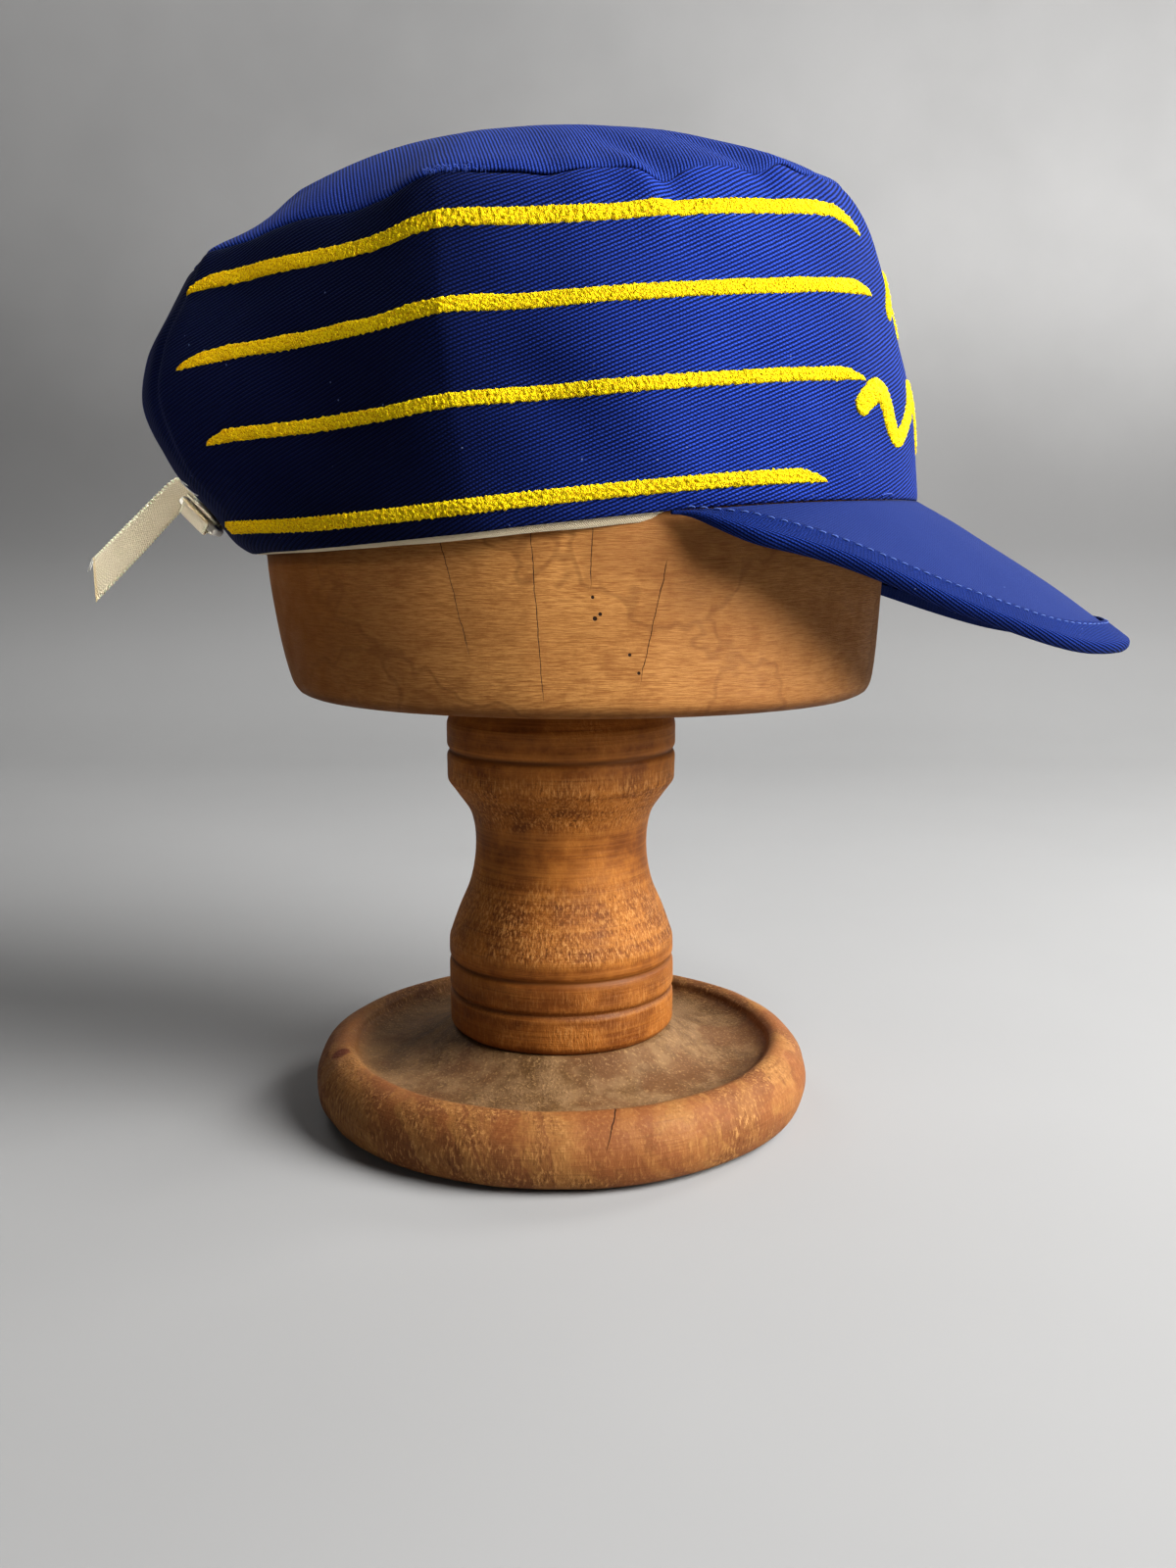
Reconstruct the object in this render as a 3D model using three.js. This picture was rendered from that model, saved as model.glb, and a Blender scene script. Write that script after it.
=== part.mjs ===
// Pillbox cap with a stiff peak and a tape strap behind, on a turned wooden hat stand.
// Millimetres, +Z up, +X to the front of the cap, origin under the middle of the stand's base.
import * as THREE from "three";
import { mergeVertices } from "three/addons/utils/BufferGeometryUtils.js";

const { degToRad } = THREE.MathUtils;

// Fits and thicknesses
const CLEARANCE = 0.3;
const CLOTH_THICKNESS = 1.2;
const SWEATBAND_THICKNESS = 1;
const PEAK_THICKNESS = 2.4;
const BINDING_THICKNESS = 0.9;
const TAPE_THICKNESS = 1;
const WELD_DISTANCE = 1e-4;

// Cap: its rim plane sits on the stand with the front raised
const CAP_TILT = degToRad(5.2);
const CAP_POSITION = new THREE.Vector3(9.75, 0, 187.85);
const WIDEST_X = -22;
const PLAN_POWER = 2.15;
const CREASE_ANGLE = 95;
const REAR_CORNER_ANGLE = 150;
const TOP_RISE = 26.5;
const CREASE_FADE = 3;

// Crown side: a row for each level above the rim; dent is how far the rear quarters are pressed in
const CROWN_LEVELS = [
  { height: 0, front: 101.5, back: -105.5, halfWidth: 84, dent: 0 },
  { height: 5, front: 101.2, back: -110.2, halfWidth: 85, dent: 1.3 },
  { height: 14, front: 101, back: -115.2, halfWidth: 86, dent: 3.5 },
  { height: 30, front: 101, back: -126.3, halfWidth: 86.5, dent: 7.5 },
  { height: 50, front: 97.5, back: -133, halfWidth: 85.5, dent: 10 },
  { height: 66, front: 94.5, back: -129.5, halfWidth: 83, dent: 10 },
  { height: 79, front: 91, back: -121, halfWidth: 80, dent: 9 },
  { height: 92, front: 84, back: -112.5, halfWidth: 75.5, dent: 7 },
];

// How far the rim and the top seam ride above their levels, by degrees from the front
const CROWN_EDGES = [
  { angle: 0, rim: -1, seam: 0.6 },
  { angle: 30, rim: 1, seam: 2 },
  { angle: 60, rim: 3.2, seam: 0 },
  { angle: 85, rim: 3, seam: 0 },
  { angle: 95, rim: 2.4, seam: 1.6 },
  { angle: 106, rim: 2.2, seam: -1.8 },
  { angle: 130, rim: 1.8, seam: -3 },
  { angle: 150, rim: 1.5, seam: -5.5 },
  { angle: 180, rim: 2.4, seam: -8 },
];

// Gathers where the top panel is eased into the side: depth of each hollow under the seam
const GATHERS = [
  { angle: 35, width: 6, depth: 0.9 },
  { angle: 50, width: 7, depth: 1.4 },
  { angle: 65, width: 6, depth: 1.2 },
  { angle: 85, width: 8, depth: 1 },
];
const GATHER_REACH = 26;

// Peak: an oval outer edge, with the height of that edge by share from its middle to its ends
const PEAK_SPREAD = degToRad(70);
const PEAK_EDGE = { startX: 14, tipX: 166.5, halfWidth: 86.5 };
const PEAK_DROOP = [
  { share: 0, height: -50 },
  { share: 0.2, height: -49.5 },
  { share: 0.4, height: -46 },
  { share: 0.6, height: -34.5 },
  { share: 0.8, height: -16 },
  { share: 1, height: 1 },
];
const PEAK_CROWNING = 0.0012;
const BINDING_WIDTH = 9;
const BINDING_END_SHARE = 0.7;

// Section of the folded strip, from its upper flange round the edge to its lower flange: shares of
// its width back from the edge, of the peak's thickness down, and of its gap off the face and the edge
const BINDING_SECTION = [
  { back: 1, down: 0, lift: 1, past: 0 },
  { back: 0.5, down: 0, lift: 1, past: 0 },
  { back: 0, down: 0, lift: 1, past: 0.35 },
  { back: 0, down: 0.5, lift: 0, past: 1 },
  { back: 0, down: 1, lift: -1, past: 0.35 },
  { back: 0.5, down: 1, lift: -1, past: 0 },
  { back: 1, down: 1, lift: -1, past: 0 },
];

// Sweatband: a tape inside the rim that shows a little below it behind the peak, less towards the back
const SWEATBAND_ROWS = 2;
const SWEATBAND_SHOW = [
  { angle: 70, show: 2.4 },
  { angle: 90, show: 2 },
  { angle: 120, show: 1.4 },
  { angle: 145, show: 0.9 },
  { angle: 160, show: 0.4 },
  { angle: 180, show: 0.3 },
];
const SWEATBAND_FRONT_LIFT = 1;

// Strap behind: its place on the crown, its slide and the short loop that holds the slide
const STRAP_ANGLE = degToRad(187);
const STRAP_HEIGHT = 16.5;
const TAPE_WIDTH = 10;
const STRAP_FAR_ANGLE = degToRad(154);
const STRAP_NEAR_ANGLE = degToRad(170);
const STRAP_LIFT = 0.9;
const SLIDE = { across: 15, along: 12, thickness: 2.6, corner: 1.8, bar: 2, off: 2.3 };
const STRAP_CROWN_STEPS = 3;
const STRAP_STEPS = 42;

// Keeper loop: from the crown, under the slide's near bar, over it and back to the crown
const KEEPER_RUN = [
  { along: -15, out: 0.4 },
  { along: -10, out: 1 },
  { along: -6.6, out: 1.3 },
  { along: -4.2, out: 1.5 },
  { along: -2.6, out: 2.9 },
  { along: -2.7, out: 5.4 },
  { along: -5, out: 6.4 },
  { along: -8, out: 5 },
  { along: -11, out: 3.2 },
  { along: -15, out: 2.1 },
];
const KEEPER_STEPS = 26;

// Tape after the crown: over the slide's far bar, down its slot, back under itself and out above as a
// loose end; lean turns its width, in degrees
const STRAP_TAIL = [
  { across: 0, along: 22, out: 0.8, lean: 0 },
  { across: 0, along: 14, out: 3.2, lean: 0 },
  { across: 0, along: 8.5, out: 5.1, lean: 0 },
  { across: 0, along: 5, out: 5.8, lean: 0 },
  { across: 0, along: 2.9, out: 5, lean: 0 },
  { across: 0, along: 2.4, out: 3.4, lean: 0 },
  { across: 0, along: 3.1, out: 1.8, lean: 0 },
  { across: 0.3, along: 5.2, out: 1.25, lean: -3 },
  { across: 2.2, along: 8.4, out: 1.1, lean: -18 },
  { across: 5.6, along: 11.4, out: 0.85, lean: -30 },
  { across: 9.2, along: 13.4, out: 0.8, lean: -38 },
  { across: 11.8, along: 14.5, out: 1.9, lean: -40 },
  { across: 12.6, along: 14.8, out: 4.8, lean: -40 },
  { across: 12.6, along: 14.8, out: 9, lean: -38 },
  { across: 12.4, along: 14.6, out: 16, lean: -34 },
  { across: 12.1, along: 14.4, out: 24, lean: -27 },
  { across: 12, along: 14.8, out: 33, lean: -18 },
  { across: 12, along: 15.9, out: 43.7, lean: -8 },
];
const TAIL_END_SLANT = 10;

// Stand block: an oval solid, level below and rounded over inside the cap
const BLOCK_LEVELS = [
  { z: 137, front: 94.5, back: -80, halfWidth: 73.5 },
  { z: 138.4, front: 97.2, back: -83, halfWidth: 76.2 },
  { z: 143, front: 99, back: -85.5, halfWidth: 78 },
  { z: 160, front: 100.3, back: -89.3, halfWidth: 79.2 },
  { z: 178, front: 101.2, back: -91.6, halfWidth: 80 },
  { z: 200, front: 101, back: -91.6, halfWidth: 80 },
  { z: 226, front: 96, back: -89, halfWidth: 76 },
  { z: 252, front: 84, back: -82, halfWidth: 67 },
  { z: 274, front: 66, back: -70, halfWidth: 53 },
];
const BLOCK_CROWN_SHARES = [0.5, 0.25, 0];

// Stand column and base, as radius and height on the stand's axis
const COLUMN_FOOT_Z = 26.3;
const COLUMN_RADIUS = 36.9;
const COLUMN_NECK_RADIUS = 34.5;
const COLUMN_EDGE = 1.5;
const GROOVE_DEPTH = 1.3;
const GROOVE_HALF = 1.1;
const LOWER_GROOVES_Z = [38.9, 49.4];
const UPPER_GROOVE_Z = 118.3;
const UPPER_RING_TOP_Z = 127;
const NECK_Z = 132;
const COLUMN_WAIST = [
  { z: 56, radius: 36.9 },
  { z: 64.5, radius: 33.9 },
  { z: 75, radius: 29.6 },
  { z: 87, radius: 27.9 },
  { z: 97.5, radius: 29.3 },
  { z: 104, radius: 33.4 },
  { z: 108.5, radius: 36.7 },
];
const WAIST_STEPS = 10;
const BASE_FOOT_RADIUS = 75;
const BASE_BOSS_RADIUS = 36.4;
const BASE_BOSS_Z = COLUMN_FOOT_Z - CLEARANCE;

// Base outline from the foot, round the rim and its crest, down into the dish and up to the boss
const BASE_OUTLINE = [
  { radius: 79, z: 2.4 },
  { radius: 81.3, z: 9 },
  { radius: 80.4, z: 15.2 },
  { radius: 76.8, z: 20.4 },
  { radius: 72, z: 22.4 },
  { radius: 69.2, z: 21.4 },
  { radius: 67.6, z: 18.8 },
  { radius: 60, z: 17 },
  { radius: 50, z: 18.6 },
  { radius: 42, z: 22.4 },
];

const CROWN_COLUMNS = 72;
const CROWN_ROWS = 10;
const TOP_RINGS = [1, 0.84, 0.66, 0.46, 0.24, 0];
const PEAK_COLUMNS = 32;
const PEAK_ROWS = 5;
const BLOCK_COLUMNS = 48;
const COLUMN_SEGMENTS = 30;
const BASE_SEGMENTS = 44;

const royalBlue = new THREE.MeshStandardMaterial({ color: 0x16288c, roughness: 0.85 });
const bindingBlue = new THREE.MeshStandardMaterial({ color: 0x182c98, roughness: 0.8 });
const whiteTape = new THREE.MeshStandardMaterial({ color: 0xe8e6e0, roughness: 0.85 });
const creamTape = new THREE.MeshStandardMaterial({ color: 0xdcd3bd, roughness: 0.9 });
const creamPlastic = new THREE.MeshStandardMaterial({ color: 0xddd5c3, roughness: 0.5 });
const honeyWood = new THREE.MeshStandardMaterial({ color: 0x8f6236, roughness: 0.6 });
const turnedWood = new THREE.MeshStandardMaterial({ color: 0x8a5426, roughness: 0.55 });

// Smooth value of one column of a table, at a place along its key column
function tableAt(rows, key, column, at) {
  const last = rows.length - 1;
  let i = 0;
  while (i < last - 1 && rows[i + 1][key] < at) i += 1;
  const slope = (k) => {
    const [a, b] = [rows[Math.max(k - 1, 0)], rows[Math.min(k + 1, last)]];
    return (b[column] - a[column]) / (b[key] - a[key]);
  };
  const [from, to] = [rows[i], rows[i + 1]];
  const step = to[key] - from[key];
  const t = (at - from[key]) / step;
  const rise = t * t * (3 - 2 * t);
  return from[column] * (1 - rise) + to[column] * rise
    + step * (t * (1 - t) * (1 - t) * slope(i) - t * t * (1 - t) * slope(i + 1));
}

const signedPower = (value, power) => Math.sign(value) * Math.abs(value) ** power;

// Point of an oval plan whose front and back halves meet where it is widest
function ovalPoint(angle, front, back, halfWidth, middle, power) {
  const length = Math.cos(angle) > 0 ? front - middle : middle - back;
  const x = middle + length * signedPower(Math.cos(angle), 2 / power);
  const y = halfWidth * signedPower(Math.sin(angle), 2 / power);
  const outward = new THREE.Vector2((x - middle) / length ** 2, y / halfWidth ** 2).normalize();
  return { x, y, outward };
}

function degreesFromFront(angle) {
  const degrees = Math.abs(THREE.MathUtils.radToDeg(angle)) % 360;
  return degrees > 180 ? 360 - degrees : degrees;
}

const SEAM_HEIGHT = CROWN_LEVELS.at(-1).height;

// Outer face of the crown side, by angle from the front and height above the rim plane;
// pressed is the share of its dents and gathers that it shows
function crownPoint(angle, height, pressed = 1) {
  const level = (column) => tableAt(CROWN_LEVELS, "height", column, height);
  const oval = ovalPoint(angle, level("front"), level("back"), level("halfWidth"), WIDEST_X, PLAN_POWER);
  const degrees = degreesFromFront(angle);
  const share = height / SEAM_HEIGHT;
  const turn = (degrees - CREASE_ANGLE) / (REAR_CORNER_ANGLE - CREASE_ANGLE);
  let inset = level("dent") * Math.sin(Math.PI * THREE.MathUtils.clamp(turn, 0, 1));
  const below = Math.max(0, 1 - (SEAM_HEIGHT - height) / GATHER_REACH);
  for (const gather of GATHERS) {
    const away = (degrees - gather.angle) / gather.width;
    inset += gather.depth * below * Math.exp(-away * away);
  }
  const rim = tableAt(CROWN_EDGES, "angle", "rim", degrees);
  const seam = tableAt(CROWN_EDGES, "angle", "seam", degrees);
  return new THREE.Vector3(
    oval.x - pressed * inset * oval.outward.x,
    oval.y - pressed * inset * oval.outward.y,
    height + rim * (1 - share) + seam * share,
  );
}

// Outer face of the top panel; share is 1 at the seam and 0 at the middle
const TOP_MIDDLE_X = (CROWN_LEVELS.at(-1).front + CROWN_LEVELS.at(-1).back) / 2;
function topPoint(angle, share) {
  const edge = crownPoint(angle, SEAM_HEIGHT, share ** CREASE_FADE);
  return new THREE.Vector3(
    TOP_MIDDLE_X + (edge.x - TOP_MIDDLE_X) * share,
    edge.y * share,
    SEAM_HEIGHT + (edge.z - SEAM_HEIGHT) * share ** CREASE_FADE + TOP_RISE * (1 - share ** 2),
  );
}

// Upper face of the peak; side runs from -1 to 1 round the front, reach from the crown to the edge
function peakPoint(side, reach) {
  const inner = crownPoint(PEAK_SPREAD * side, 0);
  inner.z -= CLEARANCE;
  const turn = (Math.PI / 2) * side;
  const outer = new THREE.Vector3(
    PEAK_EDGE.startX + (PEAK_EDGE.tipX - PEAK_EDGE.startX) * Math.cos(turn),
    PEAK_EDGE.halfWidth * Math.sin(turn),
    tableAt(PEAK_DROOP, "share", "height", Math.abs(side)),
  );
  const span = outer.distanceTo(inner);
  const point = inner.lerp(outer, reach);
  point.z += PEAK_CROWNING * span ** 2 * reach * (1 - reach);
  return point;
}
const peakSpan = (side) => peakPoint(side, 1).distanceTo(peakPoint(side, 0));

// Steps by which a surface's normal is measured, and shares close to an edge and to the middle
const SMALL_TURN = 0.01;
const SMALL_RISE = 0.2;
const SMALL_SHARE = 0.005;
const NEAR_EDGE = 0.98;
const NEAR_MIDDLE = 0.05;

// Unit normal of a surface given as a function of two numbers
function normalAt(surface, u, v, du, dv) {
  const alongU = surface(u + du, v).sub(surface(u - du, v));
  const alongV = surface(u, v + dv).sub(surface(u, v - dv));
  return alongU.cross(alongV).normalize();
}
const crownNormal = (angle, height) => normalAt(crownPoint, angle, height, SMALL_TURN, SMALL_RISE);
const topNormal = (angle, share) => (
  normalAt(topPoint, angle, Math.max(share, NEAR_MIDDLE), SMALL_TURN, -SMALL_SHARE)
);
const peakNormal = (side, reach) => normalAt(peakPoint, side, reach, SMALL_SHARE, -SMALL_SHARE);

const range = (count) => Array.from({ length: count + 1 }, (_, i) => i / count);
const moved = (point, direction, distance) => point.clone().addScaledVector(direction, distance);

// Closed geometry from loose triangles, each three points in turn
function solidFrom(triangles) {
  const welded = mergeVertices(new THREE.BufferGeometry().setFromPoints(triangles), WELD_DISTANCE);
  const kept = [];
  for (let i = 0; i < welded.index.count; i += 3) {
    const corners = [0, 1, 2].map((k) => welded.index.getX(i + k));
    if (new Set(corners).size === 3) kept.push(...corners);
  }
  welded.setIndex(kept);
  welded.computeVertexNormals();
  return welded;
}

// Closed wall between two sheets of points with the same rows and columns
function wallBetween(outer, inner) {
  const triangles = [];
  const quad = (a, b, c, d) => triangles.push(a, b, c, a, c, d);
  const lastRow = outer.length - 1;
  const lastColumn = outer[0].length - 1;
  for (let r = 0; r < lastRow; r += 1) {
    for (let c = 0; c < lastColumn; c += 1) {
      quad(outer[r][c], outer[r][c + 1], outer[r + 1][c + 1], outer[r + 1][c]);
      quad(inner[r][c], inner[r + 1][c], inner[r + 1][c + 1], inner[r][c + 1]);
    }
  }
  for (let c = 0; c < lastColumn; c += 1) {
    quad(inner[0][c], inner[0][c + 1], outer[0][c + 1], outer[0][c]);
    quad(outer[lastRow][c], outer[lastRow][c + 1], inner[lastRow][c + 1], inner[lastRow][c]);
  }
  if (outer[0][0].distanceTo(outer[0][lastColumn]) > WELD_DISTANCE) {
    for (let r = 0; r < lastRow; r += 1) {
      quad(outer[r][0], outer[r + 1][0], inner[r + 1][0], inner[r][0]);
      quad(inner[r][lastColumn], inner[r + 1][lastColumn], outer[r + 1][lastColumn], outer[r][lastColumn]);
    }
  }
  return solidFrom(triangles);
}

// Closed solid through rings of points, from the lowest ring to the highest
function loftThrough(rings) {
  const triangles = [];
  const count = rings[0].length;
  for (let c = 0; c < count; c += 1) {
    const next = (c + 1) % count;
    for (let r = 0; r < rings.length - 1; r += 1) {
      const [low, high] = [rings[r], rings[r + 1]];
      triangles.push(low[c], low[next], high[next], low[c], high[next], high[c]);
    }
    triangles.push(ringMiddle(rings[0]), rings[0][next], rings[0][c]);
    triangles.push(ringMiddle(rings.at(-1)), rings.at(-1)[c], rings.at(-1)[next]);
  }
  return solidFrom(triangles);
}

function ringMiddle(ring) {
  const sum = ring.reduce((total, point) => total.add(point), new THREE.Vector3());
  return sum.divideScalar(ring.length);
}

function namedMesh(name, geometry, material) {
  const mesh = new THREE.Mesh(geometry, material);
  mesh.name = name;
  return mesh;
}

const crownAngles = range(CROWN_COLUMNS).map((share) => 2 * Math.PI * (share % 1));
const crownHeights = range(CROWN_ROWS).map((share) => share * SEAM_HEIGHT);

// Inner edge of the seam, where the side and the top panel meet in a mitre
function seamInside(angle) {
  const sideNormal = crownNormal(angle, SEAM_HEIGHT - CLEARANCE);
  const mitre = topNormal(angle, NEAR_EDGE).add(sideNormal).normalize();
  return moved(crownPoint(angle, SEAM_HEIGHT), mitre, -CLOTH_THICKNESS / mitre.dot(sideNormal));
}
const lifted = (point, rise) => point.clone().setZ(point.z + rise);

function crownInside(angle, height) {
  return moved(crownPoint(angle, height), crownNormal(angle, height), -CLOTH_THICKNESS);
}

function crownSide() {
  const seamDrop = -CLEARANCE / 2;
  const outer = crownHeights.map((height) => crownAngles.map((angle) => crownPoint(angle, height)));
  const inner = crownHeights.map((height) => crownAngles.map((angle) => crownInside(angle, height)));
  outer[CROWN_ROWS] = crownAngles.map((angle) => lifted(crownPoint(angle, SEAM_HEIGHT), seamDrop));
  inner[CROWN_ROWS] = crownAngles.map((angle) => lifted(seamInside(angle), seamDrop));
  return namedMesh("crown_side", wallBetween(outer, inner), royalBlue);
}

function topInside(angle, share) {
  return moved(topPoint(angle, share), topNormal(angle, share), -CLOTH_THICKNESS);
}
const topMiddleInside = lifted(topPoint(0, 0), -CLOTH_THICKNESS);

function crownTop() {
  const seamLift = CLEARANCE / 2;
  const outer = TOP_RINGS.map((share) => crownAngles.map((angle) => topPoint(angle, share)));
  const inner = TOP_RINGS.map((share) => crownAngles.map((angle) => topInside(angle, share)));
  outer[0] = crownAngles.map((angle) => lifted(topPoint(angle, 1), seamLift));
  inner[0] = crownAngles.map((angle) => lifted(seamInside(angle), seamLift));
  inner[TOP_RINGS.length - 1] = crownAngles.map(() => topMiddleInside);
  return namedMesh("crown_top", wallBetween(outer, inner), royalBlue);
}

function sweatband() {
  const hug = -CLOTH_THICKNESS - CLEARANCE;
  const clearOfPeak = THREE.MathUtils.radToDeg(PEAK_SPREAD) + 2;
  const lowEdge = (angle, offset) => {
    const degrees = degreesFromFront(angle);
    const below = tableAt(SWEATBAND_SHOW, "angle", "show", Math.max(degrees, SWEATBAND_SHOW[0].angle));
    return lifted(rimMovedLevel(angle, offset), degrees > clearOfPeak ? -below : SWEATBAND_FRONT_LIFT);
  };
  const sheet = (offset) => [
    crownAngles.map((angle) => lowEdge(angle, offset)),
    ...crownHeights.slice(0, SWEATBAND_ROWS + 1).map((height) => (
      crownAngles.map((angle) => moved(crownPoint(angle, height), crownNormal(angle, height), offset))
    )),
  ];
  return namedMesh("sweatband", wallBetween(sheet(hug), sheet(hug - SWEATBAND_THICKNESS)), whiteTape);
}

// Rim point moved level, along the plan, so that what hangs below it keeps clear of the side
function rimMovedLevel(angle, offset) {
  const normal = crownNormal(angle, 0).setZ(0).normalize();
  return moved(crownPoint(angle, 0), normal, offset);
}

const peakSides = range(PEAK_COLUMNS).map((share) => 2 * share - 1);

// Place over or under the peak: positive heights stand on its upper face, negative hang under it
function besidePeak(side, reach, height) {
  return moved(peakPoint(side, reach), peakNormal(side, reach), height);
}

function peak() {
  const reaches = range(PEAK_ROWS).reverse();
  const upper = reaches.map((reach) => peakSides.map((side) => peakPoint(side, reach)));
  const lower = reaches.map((reach) => peakSides.map((side) => besidePeak(side, reach, -PEAK_THICKNESS)));
  return namedMesh("peak", wallBetween(upper, lower), royalBlue);
}

// Folded strip round the peak's edge, as one bent wall with a flange above and one below
function peakBinding() {
  const layer = (gap) => BINDING_SECTION.map(({ back, down, lift, past }) => peakSides.map((side) => {
    const span = peakSpan(side);
    const reach = 1 - (back * Math.min(BINDING_WIDTH, BINDING_END_SHARE * span)) / span;
    const edgeOut = peakPoint(side, 1).sub(peakPoint(side, NEAR_EDGE)).normalize();
    return moved(besidePeak(side, reach, lift * gap - down * PEAK_THICKNESS), edgeOut, past * gap);
  })).reverse();
  const walls = wallBetween(layer(CLEARANCE + BINDING_THICKNESS), layer(CLEARANCE));
  return namedMesh("peak_binding", walls, bindingBlue);
}

// Frame of the strap: x up the crown, y along it to the far side, z straight out of it
function strapFrame() {
  const origin = crownPoint(STRAP_ANGLE, STRAP_HEIGHT);
  const out = crownNormal(STRAP_ANGLE, STRAP_HEIGHT);
  const upward = crownPoint(STRAP_ANGLE, STRAP_HEIGHT + 1).sub(origin);
  const along = out.clone().cross(upward).normalize();
  const across = along.clone().cross(out);
  const frame = new THREE.Group();
  frame.applyMatrix4(new THREE.Matrix4().makeBasis(across, along, out).setPosition(origin));
  frame.updateMatrix();
  return frame;
}

// Flat tape through stations that each have a centre and the direction of the tape's width
function tapeThrough(stations, steps, endSlant) {
  const curve = new THREE.CatmullRomCurve3(stations.map((station) => station.centre));
  const outer = [];
  const inner = [];
  for (const share of range(steps)) {
    const place = share * (stations.length - 1);
    const index = Math.min(Math.floor(place), stations.length - 2);
    const run = curve.getTangent(share);
    const width = stations[index].width.clone().lerp(stations[index + 1].width, place - index);
    width.addScaledVector(run, -width.dot(run)).normalize();
    const face = width.clone().cross(run);
    const slant = share === 1 ? endSlant : 0;
    const edge = (side, lift) => moved(curve.getPoint(share), width, (side * TAPE_WIDTH) / 2)
      .addScaledVector(run, (-side * slant) / 2)
      .addScaledVector(face, (lift * TAPE_THICKNESS) / 2);
    outer.push([edge(-1, 1), edge(1, 1)]);
    inner.push([edge(-1, -1), edge(1, -1)]);
  }
  return wallBetween(outer, inner);
}

// Tape lying on the crown from its far end, as stations in the strap's frame
function stationsOnCrown(frame) {
  const toStrap = frame.matrix.clone().invert();
  return range(STRAP_CROWN_STEPS).map((share) => {
    const angle = THREE.MathUtils.lerp(STRAP_FAR_ANGLE, STRAP_NEAR_ANGLE, share);
    const onCrown = crownPoint(angle, STRAP_HEIGHT);
    const upward = crownPoint(angle, STRAP_HEIGHT + 1).sub(onCrown);
    const lift = STRAP_LIFT + TAPE_THICKNESS / 2;
    return {
      centre: moved(onCrown, crownNormal(angle, STRAP_HEIGHT), lift).applyMatrix4(toStrap),
      width: upward.transformDirection(toStrap),
    };
  });
}

function strapTape(frame) {
  const tail = STRAP_TAIL.map(({ across, along, out, lean }) => ({
    centre: new THREE.Vector3(across, along, out),
    width: new THREE.Vector3(Math.cos(degToRad(lean)), Math.sin(degToRad(lean)), 0),
  }));
  const stations = [...stationsOnCrown(frame), ...tail];
  return namedMesh("strap_tape", tapeThrough(stations, STRAP_STEPS, TAIL_END_SLANT), creamTape);
}

function strapKeeper() {
  const stations = KEEPER_RUN.map(({ along, out }) => ({
    centre: new THREE.Vector3(0, along, out),
    width: new THREE.Vector3(1, 0, 0),
  }));
  return namedMesh("strap_keeper", tapeThrough(stations, KEEPER_STEPS, 0), creamTape);
}

function roundedRectangle(path, x, y, width, length, corner) {
  path.moveTo(x + corner, y);
  path.lineTo(x + width - corner, y);
  path.absarc(x + width - corner, y + corner, corner, -Math.PI / 2, 0);
  path.lineTo(x + width, y + length - corner);
  path.absarc(x + width - corner, y + length - corner, corner, 0, Math.PI / 2);
  path.lineTo(x + corner, y + length);
  path.absarc(x + corner, y + length - corner, corner, Math.PI / 2, Math.PI);
  path.lineTo(x, y + corner);
  path.absarc(x + corner, y + corner, corner, Math.PI, 1.5 * Math.PI);
  return path;
}

// Moulded slide with two slots and a bar between them
function strapSlide() {
  const { across, along, thickness, corner, bar, off } = SLIDE;
  const left = -across / 2;
  const slot = (along - 3 * bar) / 2;
  const plate = roundedRectangle(new THREE.Shape(), left, -along / 2, across, along, corner);
  for (const start of [-along / 2 + bar, bar / 2]) {
    plate.holes.push(roundedRectangle(new THREE.Path(), left + bar, start, across - 2 * bar, slot, slot / 4));
  }
  const extrusion = { depth: thickness, bevelEnabled: false, curveSegments: 3 };
  const geometry = new THREE.ExtrudeGeometry(plate, extrusion);
  const mesh = namedMesh("strap_slide", geometry, creamPlastic);
  mesh.position.z = off;
  return mesh;
}

function standBlock() {
  const angles = range(BLOCK_COLUMNS).slice(0, -1).map((share) => 2 * Math.PI * share);
  const levels = BLOCK_LEVELS.map(({ z, front, back, halfWidth }) => angles.map((angle) => {
    const { x, y } = ovalPoint(angle, front, back, halfWidth, (front + back) / 2, 2);
    return new THREE.Vector3(x, y, z);
  }));
  const tilt = new THREE.Euler(0, -CAP_TILT, 0);
  const crown = BLOCK_CROWN_SHARES.map((share) => angles.map((angle) => {
    const under = share > 0 ? topInside(angle, share) : topMiddleInside;
    return lifted(under, -CLEARANCE).applyEuler(tilt).add(CAP_POSITION);
  }));
  return namedMesh("stand_block", loftThrough([...levels, ...crown]), honeyWood);
}

// Turned solid from its outline, which runs from the axis below to the axis above
function turned(name, outline, segments, material) {
  const points = outline.map(({ radius, z }) => new THREE.Vector2(radius, z));
  const geometry = new THREE.LatheGeometry(points, segments).rotateX(Math.PI / 2);
  return namedMesh(name, geometry, material);
}

const grooveAt = (z) => [
  { radius: COLUMN_RADIUS, z: z - GROOVE_HALF },
  { radius: COLUMN_RADIUS - GROOVE_DEPTH, z },
  { radius: COLUMN_RADIUS, z: z + GROOVE_HALF },
];

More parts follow.
